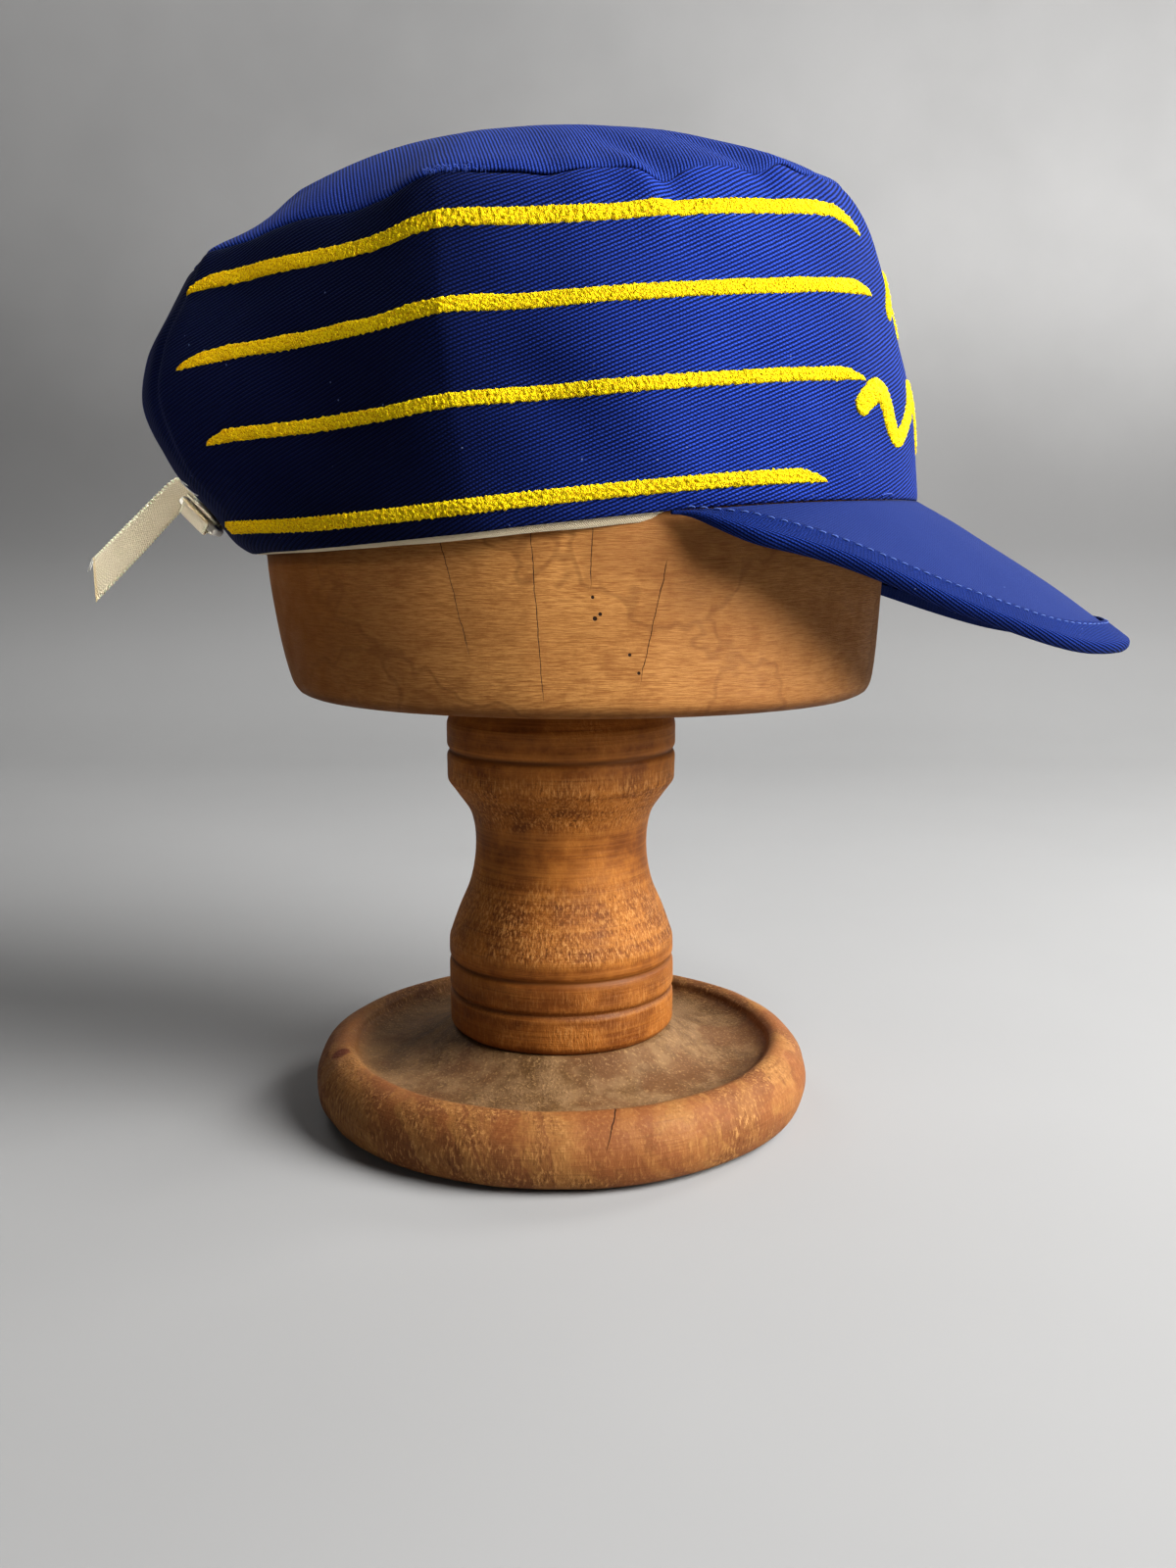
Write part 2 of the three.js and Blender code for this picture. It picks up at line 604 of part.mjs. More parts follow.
function standColumn() {
  const bottom = COLUMN_FOOT_Z;
  const top = BLOCK_LEVELS[0].z - CLEARANCE;
  const [low, high] = [COLUMN_WAIST[0].z, COLUMN_WAIST.at(-1).z];
  const waist = range(WAIST_STEPS).map((share) => {
    const z = THREE.MathUtils.lerp(low, high, share);
    return { radius: tableAt(COLUMN_WAIST, "z", "radius", z), z };
  });
  return turned("stand_column", [
    { radius: 0, z: bottom },
    { radius: COLUMN_RADIUS - COLUMN_EDGE, z: bottom },
    { radius: COLUMN_RADIUS, z: bottom + COLUMN_EDGE },
    ...LOWER_GROOVES_Z.flatMap(grooveAt),
    ...waist,
    ...grooveAt(UPPER_GROOVE_Z),
    { radius: COLUMN_RADIUS, z: UPPER_RING_TOP_Z },
    { radius: COLUMN_NECK_RADIUS, z: NECK_Z },
    { radius: COLUMN_NECK_RADIUS, z: top },
    { radius: 0, z: top },
  ], COLUMN_SEGMENTS, turnedWood);
}

function standBase() {
  return turned("stand_base", [
    { radius: 0, z: 0 },
    { radius: BASE_FOOT_RADIUS, z: 0 },
    ...BASE_OUTLINE,
    { radius: BASE_BOSS_RADIUS, z: BASE_BOSS_Z },
    { radius: 0, z: BASE_BOSS_Z },
  ], BASE_SEGMENTS, turnedWood);
}

const strap = strapFrame();
strap.add(strapTape(strap), strapKeeper(), strapSlide());

const cap = new THREE.Group();
cap.position.copy(CAP_POSITION);
cap.rotation.y = -CAP_TILT;
cap.add(crownSide(), crownTop(), sweatband(), peak(), peakBinding(), strap);

const capOnStand = new THREE.Group();
capOnStand.add(standBase(), standColumn(), standBlock(), cap);

export default capOnStand;
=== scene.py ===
"""Looks of a pillbox cap on a turned wooden hat stand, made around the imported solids.

Lengths in the tables are millimetres and angles are degrees; meshes are made in metres.
The cap has its own frame: its origin is in the rim plane, x runs to the front and z up.
Degrees on the crown run from the front round the wearer's left side, so the right side is negative.
"""
import math

import bmesh
import bpy
import numpy as np
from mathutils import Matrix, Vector


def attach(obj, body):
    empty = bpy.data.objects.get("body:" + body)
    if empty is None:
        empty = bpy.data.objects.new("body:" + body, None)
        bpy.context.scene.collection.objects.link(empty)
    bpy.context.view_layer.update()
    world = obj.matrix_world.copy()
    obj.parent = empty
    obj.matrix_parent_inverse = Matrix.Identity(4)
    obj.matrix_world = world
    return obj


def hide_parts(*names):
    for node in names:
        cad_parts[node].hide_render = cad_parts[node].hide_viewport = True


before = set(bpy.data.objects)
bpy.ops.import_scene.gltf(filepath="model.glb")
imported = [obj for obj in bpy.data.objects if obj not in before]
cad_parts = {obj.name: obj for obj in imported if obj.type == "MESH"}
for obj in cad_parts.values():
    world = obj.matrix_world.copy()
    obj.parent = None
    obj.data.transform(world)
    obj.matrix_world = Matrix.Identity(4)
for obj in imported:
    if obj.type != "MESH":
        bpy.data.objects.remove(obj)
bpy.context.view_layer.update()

MM = 0.001
FULL_TURN = 360.0
WELD = 1e-6

# Fits and thicknesses, as in the solids
CLEARANCE = 0.3
CLOTH_THICKNESS = 1.2
SWEATBAND_THICKNESS = 1.0
PEAK_THICKNESS = 2.4
BINDING_THICKNESS = 0.9
TAPE_THICKNESS = 1.0

# Cap on the stand
CAP_TILT = math.radians(5.2)
CAP_POSITION = np.array((9.75, 0.0, 187.85))
WIDEST_X = -22.0
PLAN_POWER = 2.15
CREASE_ANGLE = 95.0
REAR_CORNER_ANGLE = 150.0
TOP_RISE = 26.5
CREASE_FADE = 3
REAR_SAG = 3.0
REAR_SAG_SPAN = 0.3
REAR_SAG_ANGLES = (128, 152)

CROWN_LEVELS = {
    "height": (0, 5, 14, 30, 50, 66, 79, 92),
    "front": (101.5, 101.2, 101, 101, 97.5, 94.5, 91, 84),
    "back": (-105.5, -110.2, -115.2, -126.3, -133, -129.5, -121, -112.5),
    "half_width": (84, 85, 86, 86.5, 85.5, 83, 80, 75.5),
    "dent": (0, 1.3, 3.5, 7.5, 10, 10, 9, 7),
}
CROWN_EDGES = {
    "angle": (0, 30, 60, 85, 95, 106, 130, 150, 180),
    "rim": (-1, 1, 3.2, 3, 2.4, 2.2, 1.8, 1.5, 2.4),
    "seam": (0.6, 2, 0, 0, 1.6, -1.8, -3, -5.5, -8),
}
GATHERS = {
    "angle": (35, 50, 65, 85),
    "width": (6, 7, 6, 8),
    "depth": (0.9, 1.4, 1.2, 1.0),
}
GATHER_REACH = 26.0
SEAM_HEIGHT = CROWN_LEVELS["height"][-1]
TOP_MIDDLE_X = (CROWN_LEVELS["front"][-1] + CROWN_LEVELS["back"][-1]) / 2

# Soft hollows in the side: place, reach round and up the crown, depth and how fast they lean to the front
HOLLOWS = {
    "angle": (64, 47, 84, 83, 91, 118, 134, 151.5, 163, 174),
    "height": (30, 62, 64, 32, 34, 45, 70, 62, 58, 50),
    "reach_round": (7, 7, 6, 5, 7, 10, 8, 1.8, 3, 3.5),
    "reach_up": (22, 16, 13, 25, 25, 24, 14, 28, 22, 26),
    "depth": (0.8, 0.9, 0.6, 1.8, 0.9, 1.2, 0.9, 1.7, 1.3, 1.2),
    "lean": (0.2, 0.3, 0.15, -0.22, -0.1, -0.3, -0.2, 0, 0.12, -0.1),
}
# Puckers along the top seam: place and width, how far they stand out and how far the seam dips there
PUCKERS = {
    "angle": (14, 24, 32, 39, 46, 53, 64.5, 67.5, 73, 81, 83, 88, 99, 112, 124, 137, 149, 157, 164, 171),
    "width": (7, 5, 3, 3, 3, 4, 3.4, 2.4, 3, 3.2, 16, 3, 3, 5, 4, 5, 2.4, 2.2, 2.2, 2.4),
    "out": (
        0.3, -0.4, -0.2, 0.5, -0.7, 0.4, -0.9, 1.7, -0.9, -0.6,
        2.3, 0.2, 0.6, -0.5, 0.5, -0.5, 0.7, -0.6, 0.7, -0.6,
    ),
    "dip": (1.8, 1.6, 1.2, -0.4, 1.7, -0.2, 3.7, 0.4, -0.4, 1.3, 0, 0.4, 0, 0.6, 0, 0.4, 0, 0.4, 0, 0.4),
}
PUCKER_REACH = 12.0
SEAM_ROLL = 1.1
SEAM_ROLL_REACH = 1.8
HEM_ROLL = 0.5
HEM_ROLL_REACH = 1.2
TOP_PUCKER_LIFT = 0.25

# Slight unevenness: its height, then the seed, number, shortest and longest of its waves
SIDE_RIPPLES = ((0.18, 11, 9, 14, 30), (0.3, 12, 7, 40, 80))
TOP_RIPPLE = (0.3, 21, 8, 22, 60)
SWEATBAND_RIPPLE = (0.12, 31, 6, 18, 40)
PEAK_RIPPLE = (0.12, 41, 8, 14, 40)
BLOCK_WEAR = (0.16, 61, 10, 12, 45)
COLUMN_WEAR = (0.12, 71, 9, 8, 40)
BASE_WEAR = (0.22, 81, 9, 8, 40)

# Peak
PEAK_SPREAD = 70.0
PEAK_START_X = 14.0
PEAK_TIP_X = 164.5
PEAK_HALF_WIDTH = 86.5
PEAK_DROOP = {
    "share": (0, 0.2, 0.4, 0.6, 0.8, 1),
    "height": (-49, -48.2, -43.8, -30, -10, 4),
}
PEAK_CROWNING = 0.0012
PEAK_END_TAPER = 0.78
PEAK_END_START = 0.86
BINDING_WIDTH = 9.0
BINDING_END_SHARE = 0.7
BINDING_BULGE = 0.7
STITCH_INSET = 1.3
STITCH_PITCH = 3.6
STITCH_LENGTH = 2.5
STITCH_RADIUS = 0.21
STITCH_ARCH = 0.3
STITCH_SINK = 0.12
STITCH_SPREAD = 0.2
STITCH_SIDE_END = 0.985
STITCH_SEED = 51

# Sweatband
SWEATBAND_TOP = 18.4
SWEATBAND_SHOW = {
    "angle": (70, 90, 120, 145, 160, 180),
    "show": (2.4, 1.9, 1.0, 0.5, 0.3, 0.3),
}
SWEATBAND_FRONT_LIFT = 1.0

# Strap behind
STRAP_ANGLE = 187.0
STRAP_HEIGHT = 16.5
TAPE_WIDTH = 10.0
TAPE_WIDTH_POWER = 0.35
TAPE_FACE_POWER = 0.6
SELVEDGE_PITCH = 1.2
SELVEDGE_SWELL = 0.03
STRAP_FAR_ANGLE = 154.0
STRAP_NEAR_ANGLE = 170.0
STRAP_LIFT = 0.9
STRAP_CROWN_STEPS = 3
SLIDE_ACROSS = 15.0
SLIDE_ALONG = 12.0
SLIDE_THICKNESS = 2.6
SLIDE_CORNER = 1.8
SLIDE_BAR = 2.0
SLIDE_OFF = 2.3
SLIDE_ROUNDING = 0.9
KEEPER_RUN = {
    "along": (-15, -10, -6.6, -4.2, -2.6, -2.7, -5, -8, -11, -15),
    "out": (0.4, 1, 1.3, 1.5, 2.9, 5.4, 6.4, 5, 3.2, 2.1),
}
STRAP_TAIL = {
    "across": (0, 0, 0, 0, 0, 0, 0, 0.3, 2.2, 5.6, 9.2, 11.8, 12.6, 12.6, 12.4, 12.1, 12, 12),
    "along": (
        22, 14, 8.5, 5, 2.9, 2.4, 3.1, 5.2, 8.4, 11.4, 13.4, 14.5, 14.8, 14.8, 14.6, 14.4, 14.8, 15.9,
    ),
    "out": (0.8, 3.2, 5.1, 5.8, 5, 3.4, 1.8, 1.25, 1.1, 0.85, 0.8, 1.9, 4.8, 9, 16, 24, 33, 43.7),
    "lean": (0, 0, 0, 0, 0, 0, 0, -3, -18, -30, -38, -40, -40, -38, -34, -27, -18, -8),
}
TAIL_END_SLANT = 10.0
TAIL_SLANT_SPAN = 12.0

# Printed stripes on each side: height, where they start behind and end in front, and the kind of each end
STRIPES = {
    "height": (80, 58.3, 34.3, 7),
    "rear": (150.5, 145, 142.5, 156),
    "front": (24, 26, 35.5, 46),
    "width": (4.4, 4.2, 3.9, 4.1),
    "rear_lift": (2.2, 0.5, 1.2, 2.4),
    "front_drop": (4.5, 0, 0, 0),
    "rear_round": (False, False, False, True),
}
PRINT_THICKNESS = 0.6
PRINT_SINK = 0.25
PRINT_STEP = 0.32
PRINT_COLUMNS = 13
PRINT_SCALLOP = 0.17
SCALLOP_WAVES = (12, 0.95, 1.5)
PRINT_LUMP = 0.32
LUMP_WAVES = (16, 0.8, 2.0)
STRIPE_TAPER = 9.0
STRIPE_BRUSH = 0.6
STRIPE_LIFT_START = 115
STRIPE_DROP_SPAN = 13
STRIPE_SEED = 100

# Printed waves on the front, in place of words: height of the middle, half height, stroke and reach
FRONT_WAVES = {
    "height": (58, 24),
    "half_height": (8.5, 8),
    "stroke": (4.2, 6.2),
    "reach": (30, 62),
    "wavelength": (24, 31),
    "slant": (0.45, 0.35),
}
WAVE_FLATTENING = 0.35
STROKE_SWELL = 0.14
STROKE_SWELL_RUN = 7.0
WAVE_SEED = 200

# Stand block
BLOCK_LEVELS = {
    "z": (137, 138.4, 143, 160, 178, 200, 226, 252, 274),
    "front": (94.5, 97.2, 99, 100.3, 101.2, 101, 96, 84, 66),
    "back": (-80, -83, -85.5, -89.3, -91.6, -91.6, -89, -82, -70),
    "half_width": (73.5, 76.2, 78, 79.2, 80, 80, 76, 67, 53),
}
BLOCK_CROWN_SHARES = (0.5, 0.25, 0.0)
BLOCK_POWER = 2

# Fine cracks down the near face of the block: upper and lower end, and worm holes
BLOCK_CRACKS = (
    {"top": (-31, 186), "foot": (-23, 153)},
    {"top": (-6.5, 188), "foot": (-3.2, 141)},
    {"top": (10, 189), "foot": (9.3, 172)},
    {"top": (29.5, 178), "foot": (22.5, 146)},
)
WORM_HOLES = {
    "x": (10, 12, 10.6, 20, 22.5),
    "z": (170.5, 166, 164.8, 155, 150),
    "radius": (0.45, 0.5, 0.6, 0.45, 0.45),
}

# Stand column and base
COLUMN_FOOT_Z = 26.3
COLUMN_RADIUS = 36.9
COLUMN_NECK_RADIUS = 34.5
COLUMN_EDGE = 1.5
COLUMN_SPACING = 0.55
GROOVE_DEPTH = 1.3
GROOVE_HALF = 1.1
LOWER_GROOVES_Z = (38.9, 49.4)
UPPER_GROOVE_Z = 118.3
UPPER_RING_TOP_Z = 127.0
NECK_Z = 132.0
COLUMN_TOP_Z = BLOCK_LEVELS["z"][0] - CLEARANCE
COLUMN_WAIST = {
    "z": (56, 64.5, 75, 87, 97.5, 104, 108.5),
    "radius": (36.9, 33.9, 29.6, 27.9, 29.3, 33.4, 36.7),
}
BASE_OUTLINE = {
    "radius": (75, 79, 81.3, 80.4, 76.8, 72, 69.2, 67.6, 60, 50, 42, 36.4),
    "z": (0, 2.4, 9, 15.2, 20.4, 22.4, 21.4, 18.8, 17, 18.6, 22.4, 26),
}
BASE_CRACK = {"top": (16.5, 22), "foot": (13.6, 13)}
DISH_RADII = (74, 62)
DISH_LOWEST = 10
RED_SPOT = (-70.5, -21.5, 21.5)

# Loose threads
FRAY_COUNT = 40
FRAY_ANGLES = (88.5, 97)
FRAY_LENGTHS = (1.4, 3.0)
FRAY_RADIUS = 0.1
FRAY_BELOW = 0.8
FRAY_LEAN = 0.8
FRAY_SEED = 91
PEAK_THREAD_ANGLE = -33.0
PEAK_THREAD_LENGTH = 7.0
PEAK_THREAD_RADIUS = 0.14
LOOP_ANGLE = -156.5
LOOP_HEIGHT = 23.5
LOOP_HALF_HEIGHT = 2.6
LOOP_RADIUS = 0.18
TAIL_THREADS = {"aside": (0.0, 0.5), "length": (4.2, 3.4)}
TAIL_THREAD_RADIUS = 0.16

# Floor and backdrop, and the glowing pale surroundings all round
FLOOR_HALF_WIDTH = 3000
FLOOR_PROFILE = {
    "depth": (-3000, 700, 800, 880, 930, 950, 955),
    "rise": (-0.4, -0.4, 8, 40, 95, 170, 2200),
}
ROOM_REACH = 2700
BACKDROP_REACH = 940
ROOM_PROFILE = {
    "share": (0.4, 0.6, 0.7, 0.8, 0.85, 0.92, 0.965, 0.985, 1, 1),
    "rise": (0.5, 1.5, 3, 14, 24, 55, 105, 170, 300, 4000),
}

# Camera and lights, in metres, watts and degrees: place, aim, size, power and spread of each light
CAMERA_PLACE = (0.0088, -0.480, 0.191)
CAMERA_DIP = 10.05
MIDDLE = (0, 0, 0.2)
LIGHTS = {
    "window": ((1.03, -0.46, 0.85), MIDDLE, 1.0, 21.5, 120),
    "far_side": ((0.95, 0.7, 0.7), MIDDLE, 0.4, 6, 180),
    "back": ((-0.55, 0.75, 0.95), MIDDLE, 0.5, 2.2, 180),
    "room": ((-0.7, -1.2, 0.6), MIDDLE, 0.9, 1.3, 180),
    "strap_light": ((-0.34, -0.66, 0.26), (-0.16, -0.01, 0.182), 0.08, 0.03, 16),
    "rear_light": ((-0.5, -0.62, 0.55), (-0.1, -0.06, 0.25), 0.1, 0.015, 12),
}
WORLD_STRENGTH = 0.03


# Tables and grids of points

def table_at(table, key, column, at):
    """Smooth value of one column of a table, at places along its key column."""
    x = np.asarray(table[key], float)
    y = np.asarray(table[column], float)
    last = len(x) - 1
    before = np.maximum(np.arange(len(x)) - 1, 0)
    after = np.minimum(np.arange(len(x)) + 1, last)
    slope = (y[after] - y[before]) / (x[after] - x[before])
    i = np.clip(np.searchsorted(x, at) - 1, 0, last - 1)
    step = x[i + 1] - x[i]
    t = (at - x[i]) / step
    rise = t * t * (3 - 2 * t)
    bend = t * (1 - t) * ((1 - t) * slope[i] - t * slope[i + 1])
    return y[i] * (1 - rise) + y[i + 1] * rise + step * bend


def levels_at(table, key, at):
    """All columns of a table, at places along its key column."""
    return {name: table_at(table, key, name, at) for name in table}


def rows_of(table):
    """The rows of a table, each a dict of its columns."""
    return [dict(zip(table, row)) for row in zip(*table.values())]


def smooth_step(value, low, high):
    t = np.clip((value - low) / (high - low), 0, 1)
    return t * t * (3 - 2 * t)


def unit(vectors):
    return vectors / np.maximum(np.linalg.norm(vectors, axis=-1, keepdims=True), 1e-12)


def signed_power(value, power):
    return np.sign(value) * np.abs(value) ** power


def hump(value, middle, width):
    """Smooth rise to 1 at the middle."""
    return np.exp(-(((value - middle) / width) ** 2))


def columns(*parts):
    """Arrays of one shape, or stretched to it, joined along a new last axis."""
    return np.stack(np.broadcast_arrays(*parts), -1)


def soft_noise(points, seed, count, shortest, longest):
    """Smooth random value, about -1 to 1, from a sum of plane waves through the points."""
    rng = np.random.default_rng(seed)
    total = np.zeros(points.shape[:-1])
    for _ in range(count):
        direction = unit(rng.normal(size=3))
        length = rng.uniform(shortest, longest)
        phase = rng.uniform(0, 2 * math.pi)
        total += np.cos(points @ direction * (2 * math.pi / length) + phase)
    return total / math.sqrt(count)


def run_length(points):
    """Distance along a row of points, from its first point."""
    steps = np.linalg.norm(np.diff(points, axis=0), axis=-1)
    return np.concatenate([[0], np.cumsum(steps)])


def points_at(at, length, points):
    """Points between those of a row, at places along it."""
    return columns(*(np.interp(at, length, column) for column in points.T))


def end_caps(section):
    """Pairs of rows that close both ends of a run of sections."""
    first, last = section[:1].repeat(2, 0), section[-1:].repeat(2, 0)
    first[0] = section[0].mean(0)
    last[1] = section[-1].mean(0)
    return first, last


def ripple(points, height, *waves):
    """Slight unevenness of a surface; waves are the seed, count, shortest and longest wave."""
    return height * soft_noise(points, *waves)


def ring_normals(points):
    """Outward normals of a grid whose rows are closed rings that run up or in."""
    closed = np.concatenate([points[:, -2:-1], points, points[:, 1:2]], axis=1)
    up = np.gradient(points, axis=0)
    return unit(np.cross(closed[:, 2:] - closed[:, :-2], up))


def wall_grids(outer, inner, coordinates, wraps):
    """Grids of a closed wall between two sheets of points."""
    grids = [
        (outer, coordinates),
        (inner[:, ::-1], coordinates[:, ::-1]),
        (np.stack([inner[0], outer[0]]), np.stack([coordinates[0]] * 2)),
        (np.stack([outer[-1], inner[-1]]), np.stack([coordinates[-1]] * 2)),
    ]
    if not wraps:
        first = np.stack([inner[:, 0], outer[:, 0]], axis=1)
        last = np.stack([outer[:, -1], inner[:, -1]], axis=1)
        grids.append((first, np.stack([coordinates[:, 0]] * 2, axis=1)))
        grids.append((last, np.stack([coordinates[:, -1]] * 2, axis=1)))
    return grids


def mesh_from_grids(name, grids):
    """Welded, smooth mesh in metres from grids of points with a pair of coordinates for each."""
    points = []
    coordinates = []
    faces = []
    start = 0
    for grid, pairs in grids:
        rows, columns = grid.shape[:2]
        index = start + np.arange(rows * columns).reshape(rows, columns)
        corners = (index[:-1, :-1], index[:-1, 1:], index[1:, 1:], index[1:, :-1])
        faces.append(np.stack(corners, -1).reshape(-1, 4))
        points.append(grid.reshape(-1, 3))
        coordinates.append(pairs.reshape(-1, 2))
        start += rows * columns
    mesh = bpy.data.meshes.new(name)
    mesh.from_pydata((np.concatenate(points) * MM).tolist(), [], np.concatenate(faces).tolist())
    loops = np.empty(len(mesh.loops), int)
    mesh.loops.foreach_get("vertex_index", loops)
    layer = mesh.uv_layers.new(name="UVMap")
    layer.data.foreach_set("uv", (np.concatenate(coordinates)[loops] * MM).ravel())
    welded = bmesh.new()
    welded.from_mesh(mesh)
    bmesh.ops.remove_doubles(welded, verts=welded.verts, dist=WELD)
    welded.to_mesh(mesh)
    welded.free()
    mesh.shade_smooth()
    return mesh


def vertex_places(mesh):
    """Places of a mesh's points, in millimetres."""
    places = np.empty(len(mesh.vertices) * 3)
    mesh.vertices.foreach_get("co", places)
    return places.reshape(-1, 3) / MM


def add_object(name, data):
    made = bpy.data.objects.new(name, data)
    bpy.context.scene.collection.objects.link(made)
    return made


def add_piece(name, mesh, material, slot, *nodes):
    """A piece of the object that rides on its one body and stands for the named solids."""
    mesh.materials.append(material)
    piece = add_object(name, mesh)
    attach(piece, "root")
    if nodes:
        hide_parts(*nodes)


def add_grids(name, grids, *look):
    """A piece made of grids; look is its material, a slot name that is not used, and the solid that it
    stands for, if any.
    """
    add_piece(name, mesh_from_grids(name, grids), *look)


def add_wall(name, outer, inner, coordinates, wraps, *look):
    """A piece of cloth between two sheets of points in the cap's frame."""
    add_grids(name, wall_grids(in_world(outer), in_world(inner), coordinates, wraps), *look)


def in_world(points):
    """Points of the cap's frame, in the frame of the whole object."""
    c, s = math.cos(CAP_TILT), math.sin(CAP_TILT)
    x, y, z = points[..., 0], points[..., 1], points[..., 2]
    return columns(x * c - z * s, y, x * s + z * c) + CAP_POSITION


def tube_grid(path, radius, sides=6):
    """Grid of a thin round strand along a path, drawn to a point at both ends."""
    path = np.asarray(path, float)
    run = unit(np.gradient(path, axis=0))
    aside = unit(np.cross(run, (0.31, 0.27, 0.91)))
    above = np.cross(run, aside)
    share = np.linspace(0, 1, len(path))
    thin = np.minimum(1, np.minimum(share, 1 - share) * len(path))
    turn = np.linspace(0, 2 * math.pi, sides + 1)[None, :, None]
    ring = np.cos(turn) * aside[:, None] + np.sin(turn) * above[:, None]
    ring[:, -1] = ring[:, 0]
    grid = path[:, None] + ring * (radius * thin)[:, None, None]
    pairs = np.stack(np.meshgrid(share * 10, np.linspace(0, 1, sides + 1), indexing="ij"), -1)
    return grid, pairs


# Forms of the cap, close to the solids

def oval_plan(angle, front, back, half_width, middle, power):
    turn = np.radians(angle)
    length = np.where(np.cos(turn) > 0, front - middle, middle - back)
    x = middle + length * signed_power(np.cos(turn), 2 / power)
    y = half_width * signed_power(np.sin(turn), 2 / power)
    outward = unit(columns((x - middle) / length**2, y / half_width**2))
    return x, y, outward


def from_front(angle):
    """Degrees from the front by the shorter way round."""
    degrees = np.abs(angle) % FULL_TURN
    return np.where(degrees > FULL_TURN / 2, FULL_TURN - degrees, degrees)


def crown_form(angle, height, pressed=1.0):
    """Outer face of the crown side without its fine folds."""
    angle, height = np.broadcast_arrays(np.asarray(angle, float), np.asarray(height, float))
    level = levels_at(CROWN_LEVELS, "height", height)
    x, y, outward = oval_plan(
        angle, level["front"], level["back"], level["half_width"], WIDEST_X, PLAN_POWER)
    degrees = from_front(angle)
    turn = np.clip((degrees - CREASE_ANGLE) / (REAR_CORNER_ANGLE - CREASE_ANGLE), 0, 1)
    inset = level["dent"] * np.sin(math.pi * turn)
    below = np.maximum(0, 1 - (SEAM_HEIGHT - height) / GATHER_REACH)
    for row in rows_of(GATHERS):
        inset = inset + row["depth"] * below * hump(degrees, row["angle"], row["width"])
    share = height / SEAM_HEIGHT
    rim = table_at(CROWN_EDGES, "angle", "rim", degrees)
    seam = table_at(CROWN_EDGES, "angle", "seam", degrees)
    inset = inset * pressed
    return columns(
        x - inset * outward[..., 0],
        y - inset * outward[..., 1],
        height + rim * (1 - share) + seam * share,
    )


def top_form(angle, share):
    """Outer face of the top panel with the dips of its seam; share is 1 there and 0 in the middle."""
    edge = crown_form(angle, seam_height(angle), share**CREASE_FADE)
    lift = (edge[..., 2] - SEAM_HEIGHT) * share**CREASE_FADE
    behind = smooth_step(from_front(angle), *REAR_SAG_ANGLES)
    lift = lift - REAR_SAG * behind * np.sin(math.pi * np.clip((1 - share) / REAR_SAG_SPAN, 0, 1))
    return columns(
        TOP_MIDDLE_X + (edge[..., 0] - TOP_MIDDLE_X) * share,
        edge[..., 1] * share,
        SEAM_HEIGHT + lift + TOP_RISE * (1 - share**2),
    )


def side_slope(angle, height):
    """Outward normals of the crown side."""
    turn, rise = 0.5, 0.2
    along = crown_form(angle + turn, height) - crown_form(angle - turn, height)
    up = crown_form(angle, height + rise) - crown_form(angle, height - rise)
    return unit(np.cross(along, up))


def seam_puckers(angle, column="out"):
    """How far the top seam stands out at each angle, or how far it dips."""
    degrees = from_front(angle)
    total = np.zeros_like(degrees)
    for row in rows_of(PUCKERS):
        total += row[column] * hump(degrees, row["angle"], row["width"])
    return total


def seam_height(angle):
    return SEAM_HEIGHT - seam_puckers(angle, "dip")


def side_relief(angle, height, points):
    """Fine folds of the crown side: how far it stands out of its form."""
    degrees = from_front(angle)
    relief = np.zeros_like(degrees)
    for row in rows_of(HOLLOWS):
        above = height - row["height"]
        around = hump(degrees, row["angle"] - row["lean"] * above, row["reach_round"])
        relief -= row["depth"] * around * hump(above, 0, row["reach_up"])
    below = seam_height(angle) - height
    relief += seam_puckers(angle) * hump(below, 0, PUCKER_REACH)
    relief -= SEAM_ROLL * np.exp(-below / SEAM_ROLL_REACH)
    relief -= HEM_ROLL * np.exp(-height / HEM_ROLL_REACH)
    for row in SIDE_RIPPLES:
        relief += ripple(points, *row)
    return relief


def side_face(angle, height):
    """Outer face of the crown side with its folds, and its normals."""
    angle, height = np.broadcast_arrays(np.asarray(angle, float), np.asarray(height, float))
    form = crown_form(angle, height)
    slope = side_slope(angle, height)
    return form + slope * side_relief(angle, height, form)[..., None], slope


def peak_form(side, reach):
    """Upper face of the peak; side runs from -1 to 1 round the front, reach from the crown out."""
    side, reach = np.broadcast_arrays(np.asarray(side, float), np.asarray(reach, float))
    inner = crown_form(PEAK_SPREAD * side, 0.0) - np.array((0, 0, CLEARANCE))
    turn = math.pi / 2 * side
    outer = columns(
        PEAK_START_X + (PEAK_TIP_X - PEAK_START_X) * np.cos(turn),
        PEAK_HALF_WIDTH * np.sin(turn),
        table_at(PEAK_DROOP, "share", "height", np.abs(side)),
    )
    outer = inner + (outer - inner) * end_share(side)[..., None]
    span = np.linalg.norm(outer - inner, axis=-1)
    point = inner + (outer - inner) * reach[..., None]
    point[..., 2] += PEAK_CROWNING * span**2 * reach * (1 - reach)
    return point


def peak_slope(side, reach):
    """Upward normals of the peak."""
    step = 0.005
    along = peak_form(side + step, reach) - peak_form(side - step, reach)
    out = peak_form(side, reach + step) - peak_form(side, reach - step)
    return unit(np.cross(out, along))


def end_share(side):
    """Share left of the peak's reach and thickness, which thin out at both ends."""
    return 1 - PEAK_END_TAPER * smooth_step(np.abs(side), PEAK_END_START, 1)


def binding_width(side):
    """Length of the peak at each side, and the width of its binding there."""
    span = np.linalg.norm(peak_form(side, 1.0) - peak_form(side, 0.0), axis=-1)
    return span, np.minimum(BINDING_WIDTH, BINDING_END_SHARE * span)


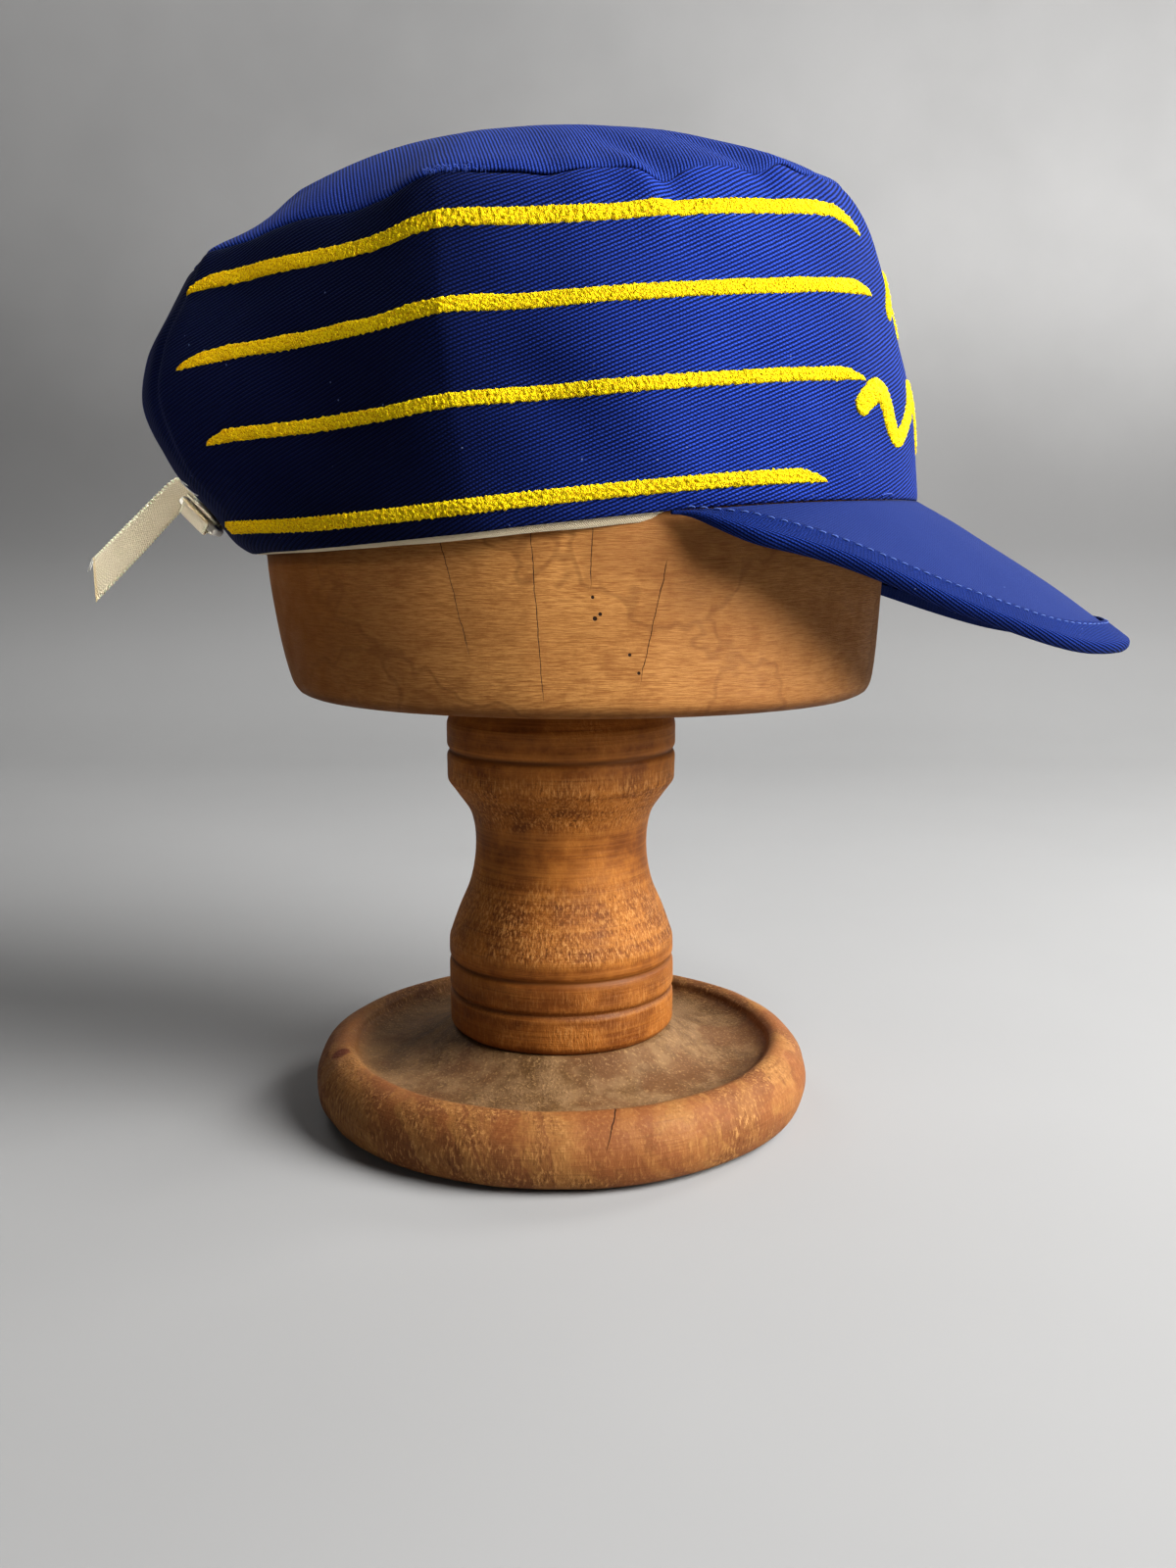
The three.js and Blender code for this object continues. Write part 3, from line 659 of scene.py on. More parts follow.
# Arc length round the crown half way up, from the front, to lay cloth and print evenly
GIRTH_ANGLES = np.linspace(-180, 180, 1441)
GIRTH_LENGTHS = run_length(crown_form(GIRTH_ANGLES, SEAM_HEIGHT / 2))
GIRTH_LENGTHS -= np.interp(0, GIRTH_ANGLES, GIRTH_LENGTHS)


def girth_at(angle):
    return np.interp(angle, GIRTH_ANGLES, GIRTH_LENGTHS)


def angle_at(girth):
    return np.interp(girth, GIRTH_LENGTHS, GIRTH_ANGLES)


# Materials

def colour(red, green, blue):
    return (red, green, blue, 1.0)


class Shader:
    """A node material with short ways to add its nodes."""

    def __init__(self, name):
        self.material = bpy.data.materials.new(name)
        self.material.use_nodes = True
        self.tree = self.material.node_tree
        self.surface = self.tree.nodes["Principled BSDF"]

    def put(self, socket, value):
        if isinstance(value, bpy.types.NodeSocket):
            self.tree.links.new(value, socket)
        else:
            socket.default_value = value

    def node(self, kind, inputs=None, **settings):
        made = self.tree.nodes.new(kind)
        for name, value in settings.items():
            setattr(made, name, value)
        for name, value in (inputs or {}).items():
            self.put(made.inputs[name], value)
        return made

    def set(self, **values):
        for name, value in values.items():
            self.put(self.surface.inputs[name.replace("_", " ").title().replace("Ior", "IOR")], value)

    def place(self, kind="Object"):
        return self.node("ShaderNodeTexCoord").outputs[kind]

    def scaled(self, vector, scale=(1, 1, 1), turn=(0, 0, 0)):
        made = self.node("ShaderNodeMapping", {"Vector": vector, "Scale": scale, "Rotation": turn})
        return made.outputs[0]

    def noise(self, vector, scale, detail=3.0, rough=0.55):
        inputs = {"Vector": vector, "Scale": scale, "Detail": detail, "Roughness": rough}
        return self.node("ShaderNodeTexNoise", inputs).outputs["Fac"]

    def cells(self, vector, scale, feature="F1"):
        inputs = {"Vector": vector, "Scale": scale}
        return self.node("ShaderNodeTexVoronoi", inputs, feature=feature).outputs["Distance"]

    def lines(self, vector, pitch, distortion=0.5, detail_scale=1.0):
        """Even waves across x, one for each pitch in metres."""
        inputs = {
            "Vector": vector,
            "Scale": 2 * math.pi / (20 * pitch),
            "Distortion": distortion,
            "Detail": 2.0,
            "Detail Scale": detail_scale,
        }
        return self.node("ShaderNodeTexWave", inputs, wave_type="BANDS").outputs["Fac"]

    def math(self, operation, first, second=0.0, clamp=False):
        made = self.node("ShaderNodeMath", operation=operation, use_clamp=clamp)
        self.put(made.inputs[0], first)
        self.put(made.inputs[1], second)
        return made.outputs[0]

    def step(self, value, low, high, first=0.0, last=1.0):
        """Smooth change from first to last as a value goes from low to high."""
        inputs = {"Value": value, "From Min": low, "From Max": high, "To Min": first, "To Max": last}
        return self.node("ShaderNodeMapRange", inputs, interpolation_type="SMOOTHSTEP").outputs[0]

    def mix(self, share, first, second, blend="MIX"):
        made = self.node("ShaderNodeMix", data_type="RGBA", blend_type=blend)
        self.put(made.inputs["Factor"], share)
        self.put(made.inputs[6], first)
        self.put(made.inputs[7], second)
        return made.outputs[2]

    def layers(self, base, *rows):
        """Tints laid over a base, each by a value, its low and high end and the most it covers."""
        for value, low, high, share, tint in rows:
            base = self.mix(self.step(value, low, high, 0.0, share), base, colour(*tint))
        return base

    def times(self, first, second):
        return self.math("MULTIPLY", first, second)

    def plus(self, first, second, clamp=False):
        return self.math("ADD", first, second, clamp)

    def minus(self, first, second, clamp=False):
        return self.math("SUBTRACT", first, second, clamp)

    def most(self, first, second):
        return self.math("MAXIMUM", first, second)

    def joined(self, **parts):
        return self.node("ShaderNodeCombineXYZ", parts).outputs[0]

    def grain(self, vector, scale, detail, rough):
        """Noise stretched by a scale for each axis."""
        return self.noise(self.scaled(vector, scale), 1.0, detail, rough)

    def bump(self, height, distance, strength):
        inputs = {"Height": height, "Distance": distance, "Strength": strength}
        return self.node("ShaderNodeBump", inputs).outputs["Normal"]

    def attribute(self, name):
        return self.node("ShaderNodeAttribute", attribute_name=name).outputs["Fac"]

    def split(self, vector):
        return self.node("ShaderNodeSeparateXYZ", {"Vector": vector}).outputs


# Dark blue painted on the side cloth as shade
PAINTED_SHADE_BLUE = colour(0.0005, 0.0014, 0.013)
DARK_BLUE = colour(0.001, 0.003, 0.03)
DEEP_BLUE = colour(0.0022, 0.0065, 0.05)
ROYAL_BLUE = colour(0.04, 0.1, 0.58)


def twill(name, dark, light, slant, pitch, depth, painted_shade=0.0):
    """Cotton twill with raised, beaded diagonal lines, in the cloth's own coordinates.

    Painted shade: its blue is darkened behind and a little at the very front, by a share given as its
    last argument.
    The places of that are metres round the crown from the front, negative on the right.
    """
    s = Shader(name)
    cloth = s.place("UV")
    across = s.scaled(cloth, turn=(0, 0, -math.radians(90 + slant)))
    wale = s.lines(across, pitch * MM, 0.8, 1.2)
    threads = s.scaled(cloth, turn=(0, 0, -math.radians(90 + slant - 62)))
    bead = s.lines(threads, pitch * 0.9 * MM, 1.2, 1.5)
    weave = s.times(s.step(wale, 0.05, 0.85), s.step(bead, 0.1, 0.8, 0.68, 1.0))
    fuzz = s.noise(s.place(), 1800, 3, 0.6)
    patches = s.noise(s.place(), 26, 4, 0.6)
    speckle = s.times(s.minus(fuzz, 0.5), 0.5)
    tone = s.plus(s.times(weave, 0.9), speckle, clamp=True)
    base = s.mix(tone, dark, light)
    base = s.mix(s.step(patches, 0.3, 0.7, 0.0, 0.22), base, s.mix(0.5, base, dark))
    girth = s.split(cloth)[0]
    # Painted shade: a little darker at the very front, much darker behind on both sides, and a little
    # lighter again near the back on the right
    front = s.step(s.math("ABSOLUTE", girth), 0.12, 0.04, 0.0, 0.45)
    base = s.mix(s.times(front, painted_shade), base, PAINTED_SHADE_BLUE)
    near = s.minus(s.step(girth, -0.08, -0.2), s.step(girth, -0.285, -0.32, 0.0, 0.3))
    far = s.step(girth, 0.12, 0.3, 0.0, 0.7)
    base = s.mix(s.times(s.plus(near, far), painted_shade), base, PAINTED_SHADE_BLUE)
    speck = s.cells(s.place(), 150)
    base = s.layers(base, (speck, 0.045, 0.03, 0.5, (0.2, 0.25, 0.45)))
    s.set(base_color=base, roughness=0.9, specular_ior_level=0.1, sheen_weight=0.05, sheen_roughness=0.4)
    s.put(s.surface.inputs["Sheen Tint"], colour(0.45, 0.55, 1.0))
    relief = s.plus(weave, s.times(fuzz, 0.45))
    s.set(normal=s.bump(relief, depth * MM, 0.9))
    return s.material


def woven_tape(name, dark, light, pitch, zigzag):
    """Tape with a zigzag weave and beaded edges; its coordinates run from its free end and across it."""
    s = Shader(name)
    along, across, _ = s.split(s.place("UV"))
    folded = s.math("PINGPONG", across, zigzag * MM)
    bent = s.joined(X=s.plus(along, folded), Y=across)
    wale = s.lines(bent, pitch * MM, 0.7)
    fuzz = s.noise(s.place(), 1500, 3, 0.6)
    weave = s.plus(s.times(wale, 0.7), s.times(fuzz, 0.4), clamp=True)
    soil = s.noise(s.place(), 60, 4, 0.6)
    base = s.mix(weave, dark, light)
    base = s.mix(s.step(soil, 0.45, 0.75, 0.0, 0.35), base, dark)
    off = s.math("ABSOLUTE", across)
    edge = s.step(off, 0.4 * TAPE_WIDTH * MM, 0.46 * TAPE_WIDTH * MM)
    bead = s.step(s.lines(s.place("UV"), SELVEDGE_PITCH * MM, 0.3), 0.2, 0.7)
    base = s.mix(s.times(edge, bead), base, colour(*(min(1.0, 1.2 * c) for c in light[:3])))
    sealed = s.step(along, 1.5 * MM, 0.7 * MM)
    base = s.mix(s.times(sealed, 0.7), base, colour(0.72, 0.55, 0.28))
    s.set(base_color=base, roughness=0.9, specular_ior_level=0.2, sheen_weight=0.15)
    relief = s.plus(weave, s.times(s.times(edge, bead), 1.2))
    s.set(normal=s.bump(relief, 0.2 * MM, 0.9))
    return s.material


def yellow_print():
    """Raised rubbery print, crackled across its run; its coordinates run along it and across it."""
    s = Shader("yellow_print")
    place = s.place()
    along, across, _ = s.split(s.place("UV"))
    wander = s.noise(place, 700, 3)
    pushed = s.plus(along, s.times(wander, 0.9 * MM))
    leaning = s.plus(pushed, s.times(across, 0.25))
    drawn = s.joined(X=leaning, Y=s.times(across, 0.45))
    crack = s.cells(drawn, 2000, "DISTANCE_TO_EDGE")
    grain = s.noise(drawn, 3400, 3, 0.65)
    lump = s.cells(drawn, 2000, "SMOOTH_F1")
    dirt = s.noise(place, 150, 4, 0.6)
    base = s.mix(s.step(crack, 0.0, 0.16), colour(0.55, 0.24, 0.002), colour(1.0, 0.76, 0.004))
    base = s.layers(
        base,
        (grain, 0.42, 0.66, 0.8, (1.0, 0.85, 0.008)),
        (grain, 0.43, 0.28, 0.7, (0.55, 0.23, 0.002)),
    )
    # Painted shade: the print is made darker and more orange behind
    behind = s.step(s.split(place)[0], -0.01, -0.12, 0.0, 0.3)
    base = s.mix(behind, base, colour(0.92, 0.44, 0.003), "MULTIPLY")
    base = s.layers(base, (dirt, 0.68, 0.76, 0.55, (0.16, 0.1, 0.03)))
    s.set(base_color=base, roughness=0.7, specular_ior_level=0.12)
    height = s.plus(s.step(crack, 0.0, 0.2), s.times(grain, 0.7))
    height = s.minus(height, s.times(lump, 0.6))
    s.set(normal=s.bump(height, 0.4 * MM, 0.9))
    return s.material


def plain_thread(name, tint):
    s = Shader(name)
    fibre = s.noise(s.place(), 4000, 2)
    s.set(base_color=s.mix(fibre, colour(*(0.6 * c for c in tint)), colour(*tint)), roughness=0.8)
    return s.material


def cream_plastic():
    s = Shader("cream_plastic")
    haze = s.noise(s.place(), 260, 4, 0.6)
    base = s.mix(s.step(haze, 0.35, 0.7), colour(0.76, 0.71, 0.6), colour(0.9, 0.86, 0.77))
    s.set(base_color=base, roughness=0.5, specular_ior_level=0.4)
    s.set(normal=s.bump(s.noise(s.place(), 1400, 3), 0.04 * MM, 0.5))
    return s.material


def crack_mask(s, place, crack, half_width):
    """Dark hairline on the near side, between two points given as x and z."""
    x, y, z = s.split(place)
    (top_x, top_z), (foot_x, foot_z) = crack["top"], crack["foot"]
    slope = (top_x - foot_x) / (top_z - foot_z)
    line = s.plus(s.times(z, slope), (foot_x - slope * foot_z) * MM)
    wander = s.times(s.minus(s.noise(place, 260, 3), 0.5), 1.1 * MM)
    away = s.math("ABSOLUTE", s.minus(s.plus(x, wander), line))
    hair = s.step(away, half_width * 1.7 * MM, half_width * 0.4 * MM)
    foot = s.step(z, foot_z * MM, (foot_z + 6) * MM)
    top = s.step(z, (top_z + 3) * MM, top_z * MM)
    near = s.math("LESS_THAN", y, 0.0)
    return s.times(s.times(hair, near), s.times(foot, top))


def block_wood():
    """Old honey-coloured block: fine level grain, stains, tide marks, hairline cracks and worm holes."""
    s = Shader("block_wood")
    place = s.place()
    x, y, z = s.split(place)
    sway = s.times(s.noise(place, 16, 2), 3 * MM)
    swayed = s.joined(X=x, Y=y, Z=s.plus(z, sway))
    fibre = s.grain(swayed, (240, 240, 3000), 4, 0.68)
    streak = s.grain(swayed, (80, 80, 1100), 4, 0.64)
    band = s.grain(swayed, (5, 5, 75), 3, 0.6)
    stain = s.noise(place, 17, 4, 0.52)
    cloud = s.noise(place, 85, 6, 0.72)
    base = s.mix(s.step(fibre, 0.35, 0.65), colour(0.33, 0.135, 0.035), colour(0.58, 0.285, 0.087))
    base = s.layers(
        base,
        (streak, 0.42, 0.66, 0.22, (0.66, 0.35, 0.115)),
        (streak, 0.44, 0.3, 0.24, (0.27, 0.1, 0.022)),
        (band, 0.4, 0.65, 0.22, (0.35, 0.15, 0.04)),
        (cloud, 0.46, 0.72, 0.5, (0.24, 0.085, 0.02)),
        (stain, 0.51, 0.6, 0.4, (0.2, 0.072, 0.017)),
    )
    edge = s.math("ABSOLUTE", s.minus(stain, 0.525))
    base = s.layers(
        base,
        (edge, 0.014, 0.002, 0.34, (0.13, 0.044, 0.01)),
        # Darker towards the right end: partly stain, partly painted shadow of the peak
        (x, 0.0, 0.06, 0.42, (0.25, 0.105, 0.036)),
        # Much darker towards the left end: partly stain, partly painted shade on the side turned from the
        # light
        (x, -0.014, -0.085, 0.85, (0.165, 0.053, 0.006)),
        # Darker along the bottom edge: painted shade on the lower chamfer
        (z, 0.1412, 0.1382, 0.6, (0.09, 0.03, 0.007)),
    )
    hollow = None
    for crack in BLOCK_CRACKS:
        mask = crack_mask(s, place, crack, 0.08)
        hollow = mask if hollow is None else s.most(hollow, mask)
    near = s.math("LESS_THAN", y, 0.0)
    for hole in rows_of(WORM_HOLES):
        aside = s.minus(x, hole["x"] * MM)
        above = s.minus(z, hole["z"] * MM)
        square = s.plus(s.times(aside, aside), s.times(above, above))
        away = s.math("POWER", square, 0.5)
        mask = s.step(away, hole["radius"] * 1.15 * MM, hole["radius"] * 0.8 * MM)
        hollow = s.most(hollow, s.times(mask, near))
    # Cracks and worm holes painted near-black: painted shade in hollows that the mesh doesn't cut
    base = s.mix(hollow, base, colour(0.03, 0.012, 0.005))
    s.set(base_color=base, roughness=s.step(cloud, 0.3, 0.7, 0.52, 0.7), specular_ior_level=0.22)
    height = s.plus(s.times(fibre, 0.7), s.times(streak, 0.7))
    height = s.minus(height, s.times(hollow, 2.0))
    s.set(normal=s.bump(height, 0.34 * MM, 0.85))
    return s.material


def column_wood():
    """Orange-brown turned wood with torn upright fibres and fine tool lines."""
    s = Shader("column_wood")
    place = s.place()
    z = s.split(place)[2]
    fibre = s.grain(place, (1350, 1350, 330), 4, 0.68)
    tool = s.grain(place, (9, 9, 480), 4, 0.65)
    hairline = s.grain(place, (30, 30, 1700), 3, 0.6)
    cloud = s.noise(place, 52, 6, 0.7)
    low_bulge = s.times(s.step(z, 0.052, 0.058), s.step(z, 0.085, 0.068))
    high_bulge = s.times(s.step(z, 0.092, 0.1), s.step(z, 0.117, 0.109))
    rings = s.step(z, 0.05, 0.044, 0.0, 0.4)
    torn = s.most(s.most(low_bulge, high_bulge), rings)
    broken = s.step(s.noise(place, 75, 4, 0.65), 0.36, 0.56, 0.55, 1.0)
    torn = s.plus(s.times(torn, broken), s.step(cloud, 0.52, 0.68, 0.0, 0.4), clamp=True)
    base = s.mix(s.step(cloud, 0.34, 0.66), colour(0.17, 0.05, 0.006), colour(0.42, 0.155, 0.026))
    base = s.layers(
        base,
        (tool, 0.42, 0.66, 0.4, (0.48, 0.195, 0.04)),
        (tool, 0.42, 0.26, 0.4, (0.16, 0.048, 0.006)),
        (hairline, 0.55, 0.7, 0.4, (0.13, 0.038, 0.005)),
    )
    flecks = s.times(s.step(fibre, 0.5, 0.62), torn)
    base = s.mix(s.times(flecks, 0.75), base, colour(0.6, 0.29, 0.09))
    shadow = s.times(s.step(fibre, 0.46, 0.34), torn)
    base = s.mix(s.times(shadow, 0.8), base, colour(0.09, 0.027, 0.005))
    base = s.layers(base, (z, 0.056, 0.046, 0.3, (0.13, 0.038, 0.005)))
    # Painted shade in the grooves and at the neck under the block
    groove = s.attribute("hollow")
    base = s.mix(s.times(groove, s.step(cloud, 0.35, 0.6, 0.4, 0.8)), base, colour(0.075, 0.022, 0.004))
    s.set(base_color=base, roughness=s.step(cloud, 0.3, 0.7, 0.5, 0.66), specular_ior_level=0.25)
    height = s.times(s.times(fibre, torn), 1.1)
    height = s.plus(height, s.times(tool, 0.5))
    height = s.plus(height, s.times(hairline, 0.2))
    s.set(normal=s.bump(height, 0.6 * MM, 0.9))
    return s.material


def base_wood():
    """Turned base: uneven growth rings and torn end grain on the rim, dust and stains in the dish."""
    s = Shader("base_wood")
    place = s.place()
    x, y, z = s.split(place)
    bent = s.noise(place, 26, 4, 0.6)
    ring = s.plus(s.plus(x, s.times(z, 0.35)), s.times(bent, 0.035))
    band = s.noise(s.joined(X=ring), 60, 3, 0.55)
    torn = s.grain(place, (1100, 1100, 300), 4, 0.68)
    scratch = s.grain(place, (60, 60, 1500), 4, 0.6)
    patch = s.noise(place, 34, 4, 0.6)
    cloud = s.noise(place, 95, 6, 0.72)
    base = s.mix(s.step(band, 0.47, 0.53), colour(0.2, 0.077, 0.025), colour(0.29, 0.132, 0.04))
    base = s.layers(
        base,
        (patch, 0.5, 0.58, 0.55, (0.235, 0.083, 0.026)),
        (cloud, 0.54, 0.68, 0.6, (0.15, 0.056, 0.018)),
    )
    rough = s.step(patch, 0.54, 0.42, 0.3, 0.95)
    base = s.mix(s.times(s.step(torn, 0.52, 0.64), rough), base, colour(0.45, 0.23, 0.08))
    # Painted shade in the low places of the torn end grain
    base = s.mix(s.times(s.step(torn, 0.45, 0.33), rough), base, colour(0.12, 0.042, 0.011))
    base = s.layers(base, (scratch, 0.56, 0.7, 0.4, (0.16, 0.062, 0.02)))
    dish = s.attribute("hollow")
    dust = s.mix(s.step(cloud, 0.38, 0.62), colour(0.1, 0.057, 0.024), colour(0.21, 0.13, 0.064))
    dust = s.layers(dust, (patch, 0.52, 0.64, 0.7, (0.1, 0.045, 0.017)))
    dust = s.mix(s.times(s.step(torn, 0.54, 0.66), 0.45), dust, colour(0.42, 0.26, 0.12))
    base = s.mix(s.times(dish, 0.85), base, dust)
    rim = s.minus(1.0, dish, clamp=True)
    crack = s.times(crack_mask(s, place, BASE_CRACK, 0.12), s.step(rim, 0.4, 0.9))
    # Painted shade in the crack, which the mesh doesn't cut
    base = s.mix(crack, base, colour(0.02, 0.008, 0.003))
    spot = tuple(MM * c for c in RED_SPOT)
    away = s.node("ShaderNodeVectorMath", {0: place, 1: spot}, operation="DISTANCE").outputs["Value"]
    ragged = s.plus(away, s.times(cloud, 4 * MM))
    base = s.layers(base, (ragged, 6 * MM, 4.4 * MM, 0.75, (0.1, 0.012, 0.008)))
    s.set(base_color=base, roughness=s.step(cloud, 0.3, 0.7, 0.56, 0.74), specular_ior_level=0.2)
    height = s.plus(s.times(torn, rough), s.times(scratch, 0.35))
    height = s.minus(height, s.times(crack, 2.0))
    s.set(normal=s.bump(height, 0.6 * MM, 0.9))
    return s.material


# Cloth pieces

CROWN_ANGLES = np.linspace(-180, 180, 481)
SIDE_SHARES = np.concatenate(
    [np.linspace(0, 0.045, 7), np.linspace(0.06, 0.88, 50), np.linspace(0.9, 1, 21)])
TOP_SHARES = np.concatenate([np.linspace(1, 0.9, 15), np.linspace(0.88, 0, 34)])


def crown_side(material):
    angle, share = np.meshgrid(CROWN_ANGLES, SIDE_SHARES)
    height = share * seam_height(angle)
    outer, slope = side_face(angle, height)
    inner = outer - slope * CLOTH_THICKNESS
    pairs = columns(girth_at(angle), height)
    add_wall("crown_side_cloth", outer, inner, pairs, True, material, "crown_cloth", "crown_side")


def crown_top(material):
    angles = CROWN_ANGLES[::2]
    angle, share = np.meshgrid(angles, TOP_SHARES)
    form = top_form(angle, share)
    slope = ring_normals(form)
    slope[-1] = (0, 0, 1)
    seam_out = side_slope(angles, seam_height(angles))
    within = (1 - share) * np.abs(form[:1, :, 0] - TOP_MIDDLE_X + 1j * form[:1, :, 1])
    pucker = seam_puckers(angle) * hump(within, 0, PUCKER_REACH)
    roll = SEAM_ROLL * np.exp(-within / SEAM_ROLL_REACH)
    outer = form + seam_out[None] * (pucker - roll)[..., None]
    outer[..., 2] += TOP_PUCKER_LIFT * pucker
    outer += slope * (share * ripple(form, *TOP_RIPPLE))[..., None]
    inner = outer - slope * CLOTH_THICKNESS
    inner[0] = outer[0] - unit(slope[0] + seam_out) * CLOTH_THICKNESS
    add_wall("crown_top_cloth", outer, inner, form[..., :2], True, material, "crown_cloth", "crown_top")


def sweatband(material):
    angles = CROWN_ANGLES[::2]
    hug = -CLOTH_THICKNESS - CLEARANCE
    degrees = from_front(angles)
    behind = smooth_step(degrees, PEAK_SPREAD, PEAK_SPREAD + 5)
    below = table_at(SWEATBAND_SHOW, "angle", "show", np.maximum(degrees, PEAK_SPREAD))
    low = SWEATBAND_FRONT_LIFT * (1 - behind) - below * behind
    angle, height = np.meshgrid(angles, np.linspace(0, SWEATBAND_TOP, 15))
    form, slope = side_face(angle, height)
    level = unit(slope[0] * np.array((1, 1, 0)))
    low += ripple(form[0], *SWEATBAND_RIPPLE)

    def sheet(offset):
        lip = form[0] + level * offset + columns(0.0, 0.0, low)
        return np.concatenate([lip[None], form + slope * offset])

    pairs = columns(girth_at(angle), height)
    lip_pairs = columns(girth_at(angles), low)
    pairs = np.concatenate([lip_pairs[None], pairs])
    inner = sheet(hug - SWEATBAND_THICKNESS)
    add_wall("sweatband_cloth", sheet(hug), inner, pairs, True, material, "sweatband_tape", "sweatband")


def peak_cloth(material):
    side, reach = np.meshgrid(np.linspace(-1, 1, 181), np.linspace(1, 0, 41))
    form = peak_form(side, reach)
    slope = peak_slope(side, reach)
    upper = form + slope * (4 * reach * (1 - reach) * ripple(form, *PEAK_RIPPLE))[..., None]
    lower = form - slope * (PEAK_THICKNESS * end_share(side))[..., None]
    add_wall("peak_cloth", upper, lower, form[..., :2], False, material, "crown_cloth", "peak")


def binding_section(side, gap):
    """Points of the folded strip at each side, from its upper flange round the edge to its lower one."""
    flange = np.linspace(1, 0, 13)[:, None]
    side = side[None]
    span, width = binding_width(side)
    reach = 1 - flange * width / span
    slope = peak_slope(side, reach)
    face = peak_form(side, reach)
    thin = end_share(side)[..., None]
    thick = PEAK_THICKNESS * thin
    gap = gap * thin
    lower = (face - slope * (thick + gap))[::-1]
    out = unit(peak_form(side, 1.0) - peak_form(side, 0.98))[0]
    turn = np.radians(np.linspace(90, -90, 13)[1:-1])[:, None, None]
    middle = face[-1] - slope[-1] * thick[0] / 2
    height = slope[-1] * np.sin(turn) * (thick / 2 + gap)
    round_edge = middle + height + out * np.cos(turn) * (gap + BINDING_BULGE * thin)
    return np.concatenate([face + slope * gap, round_edge, lower])


def peak_binding(material):
    side = np.linspace(-1, 1, 361)
    outer = binding_section(side, CLEARANCE + BINDING_THICKNESS)[::-1]
    inner = binding_section(side, CLEARANCE)[::-1]
    across = run_length(outer[:, len(side) // 2])
    pairs = np.stack(np.meshgrid(run_length(peak_form(side, 1.0)), across), -1)
    add_wall("peak_binding_cloth", outer, inner, pairs, False, material, "binding_cloth", "peak_binding")


def binding_stitches(material):
    """Row of stitches near the inner edge of the binding's upper flange."""
    side = np.linspace(-STITCH_SIDE_END, STITCH_SIDE_END, 2001)
    span, width = binding_width(side)
    reach = 1 - (width - STITCH_INSET) / span
    slope = peak_slope(side, reach)
    line = peak_form(side, reach) + slope * (CLEARANCE + BINDING_THICKNESS)
    run = run_length(line)
    rng = np.random.default_rng(STITCH_SEED)
    arch = np.sin(np.linspace(0, math.pi, 7)) * STITCH_ARCH - STITCH_SINK
    grids = []
    for start in np.arange(1.0, run[-1] - STITCH_LENGTH, STITCH_PITCH):
        at = start + rng.uniform(-STITCH_SPREAD, STITCH_SPREAD) + np.linspace(0, STITCH_LENGTH, 7)
        path = points_at(at, run, line) + points_at(at, run, slope) * arch[:, None]
        grids.append(tube_grid(in_world(path), STITCH_RADIUS))
    add_grids("binding_stitches", grids, material, "binding_cloth")


# Printed strokes

def print_stroke(name, girth, height, half, material, seed):
    """Raised print along a line on the crown; half is its reach to each side of the line."""
    run = unit(columns(np.gradient(girth), np.gradient(height)))
    line = columns(girth, height, 0.0)
    scallop = PRINT_SCALLOP * smooth_step(half, 0, 1)
    upper, lower = (half + scallop * soft_noise(line, seed + k, *SCALLOP_WAVES) for k in (0, 1))
    across = np.linspace(-1, 1, PRINT_COLUMNS)
    reach = np.where(across > 0, upper[:, None], lower[:, None]) * across
    place_girth = girth[:, None] - run[:, 1:] * reach
    place_height = height[:, None] + run[:, :1] * reach
    surface, slope = side_face(angle_at(place_girth), place_height)
    thin = np.minimum(1, (upper + lower) / 2)[:, None]
    flat = columns(place_girth, place_height, 0.0)
    lift = PRINT_THICKNESS * thin * (1 - across**4) ** 0.5
    lift = lift * (1 + PRINT_LUMP * soft_noise(flat, seed + 2, *LUMP_WAVES))
    top = surface + slope * lift[..., None]
    back = [PRINT_COLUMNS - 1, PRINT_COLUMNS // 2, 0]
    under = (surface - slope * PRINT_SINK)[:, back]
    section = np.concatenate([top, under, top[:, :1]], axis=1)
    aside = np.concatenate([reach, reach[:, back], reach[:, :1]], axis=1)
    pairs = columns(run_length(line)[:, None], aside)
    grids = [(in_world(section)[::-1], pairs[::-1])]
    for end in end_caps(section):
        grids.append((in_world(end)[::-1], pairs[:2]))
    add_grids(name, grids, material, "stripe_print")


def round_end(distance, half):
    """Share of a stroke's width near its round end."""
    return np.sqrt(np.maximum(0, 1 - (1 - np.clip(distance / half, 0, 1)) ** 2))


def brushed_end(distance, half):
    """Upper edge of a stripe that runs out to its lower edge at its end."""
    return half * (2 * np.clip(distance / STRIPE_TAPER, 0.0, 1) ** STRIPE_BRUSH - 1)


def stripe(name, row, sign, material, seed):
    """One level stripe round a side, with brushed or round ends."""
    rear, front = girth_at(sign * row["rear"]), girth_at(sign * row["front"])
    count = int(abs(front - rear) / PRINT_STEP)
    girth = np.linspace(min(rear, front), max(rear, front), count)
    degrees = from_front(angle_at(girth))
    lift = smooth_step(degrees, STRIPE_LIFT_START, row["rear"]) ** 1.5
    drop = smooth_step(degrees, row["front"] + STRIPE_DROP_SPAN, row["front"]) ** 2
    height = row["height"] + row["rear_lift"] * lift - row["front_drop"] * drop
    half = row["width"] / 2
    from_rear = np.abs(girth - rear)
    upper = brushed_end(np.abs(girth - front), half)
    lower = np.full_like(girth, half)
    if row["rear_round"]:
        upper, lower = (edge * round_end(from_rear, half) for edge in (upper, lower))
    else:
        upper = np.minimum(upper, brushed_end(from_rear, half))
    print_stroke(name, girth, height + (upper - lower) / 2, (upper + lower) / 2, material, seed)


def printed_stripes(material):
    for number, row in enumerate(rows_of(STRIPES), start=1):
        for side_name, sign in (("right", -1), ("left", 1)):
            stripe(f"stripe_{side_name}_{number}", row, sign, material, STRIPE_SEED + 10 * number + sign)


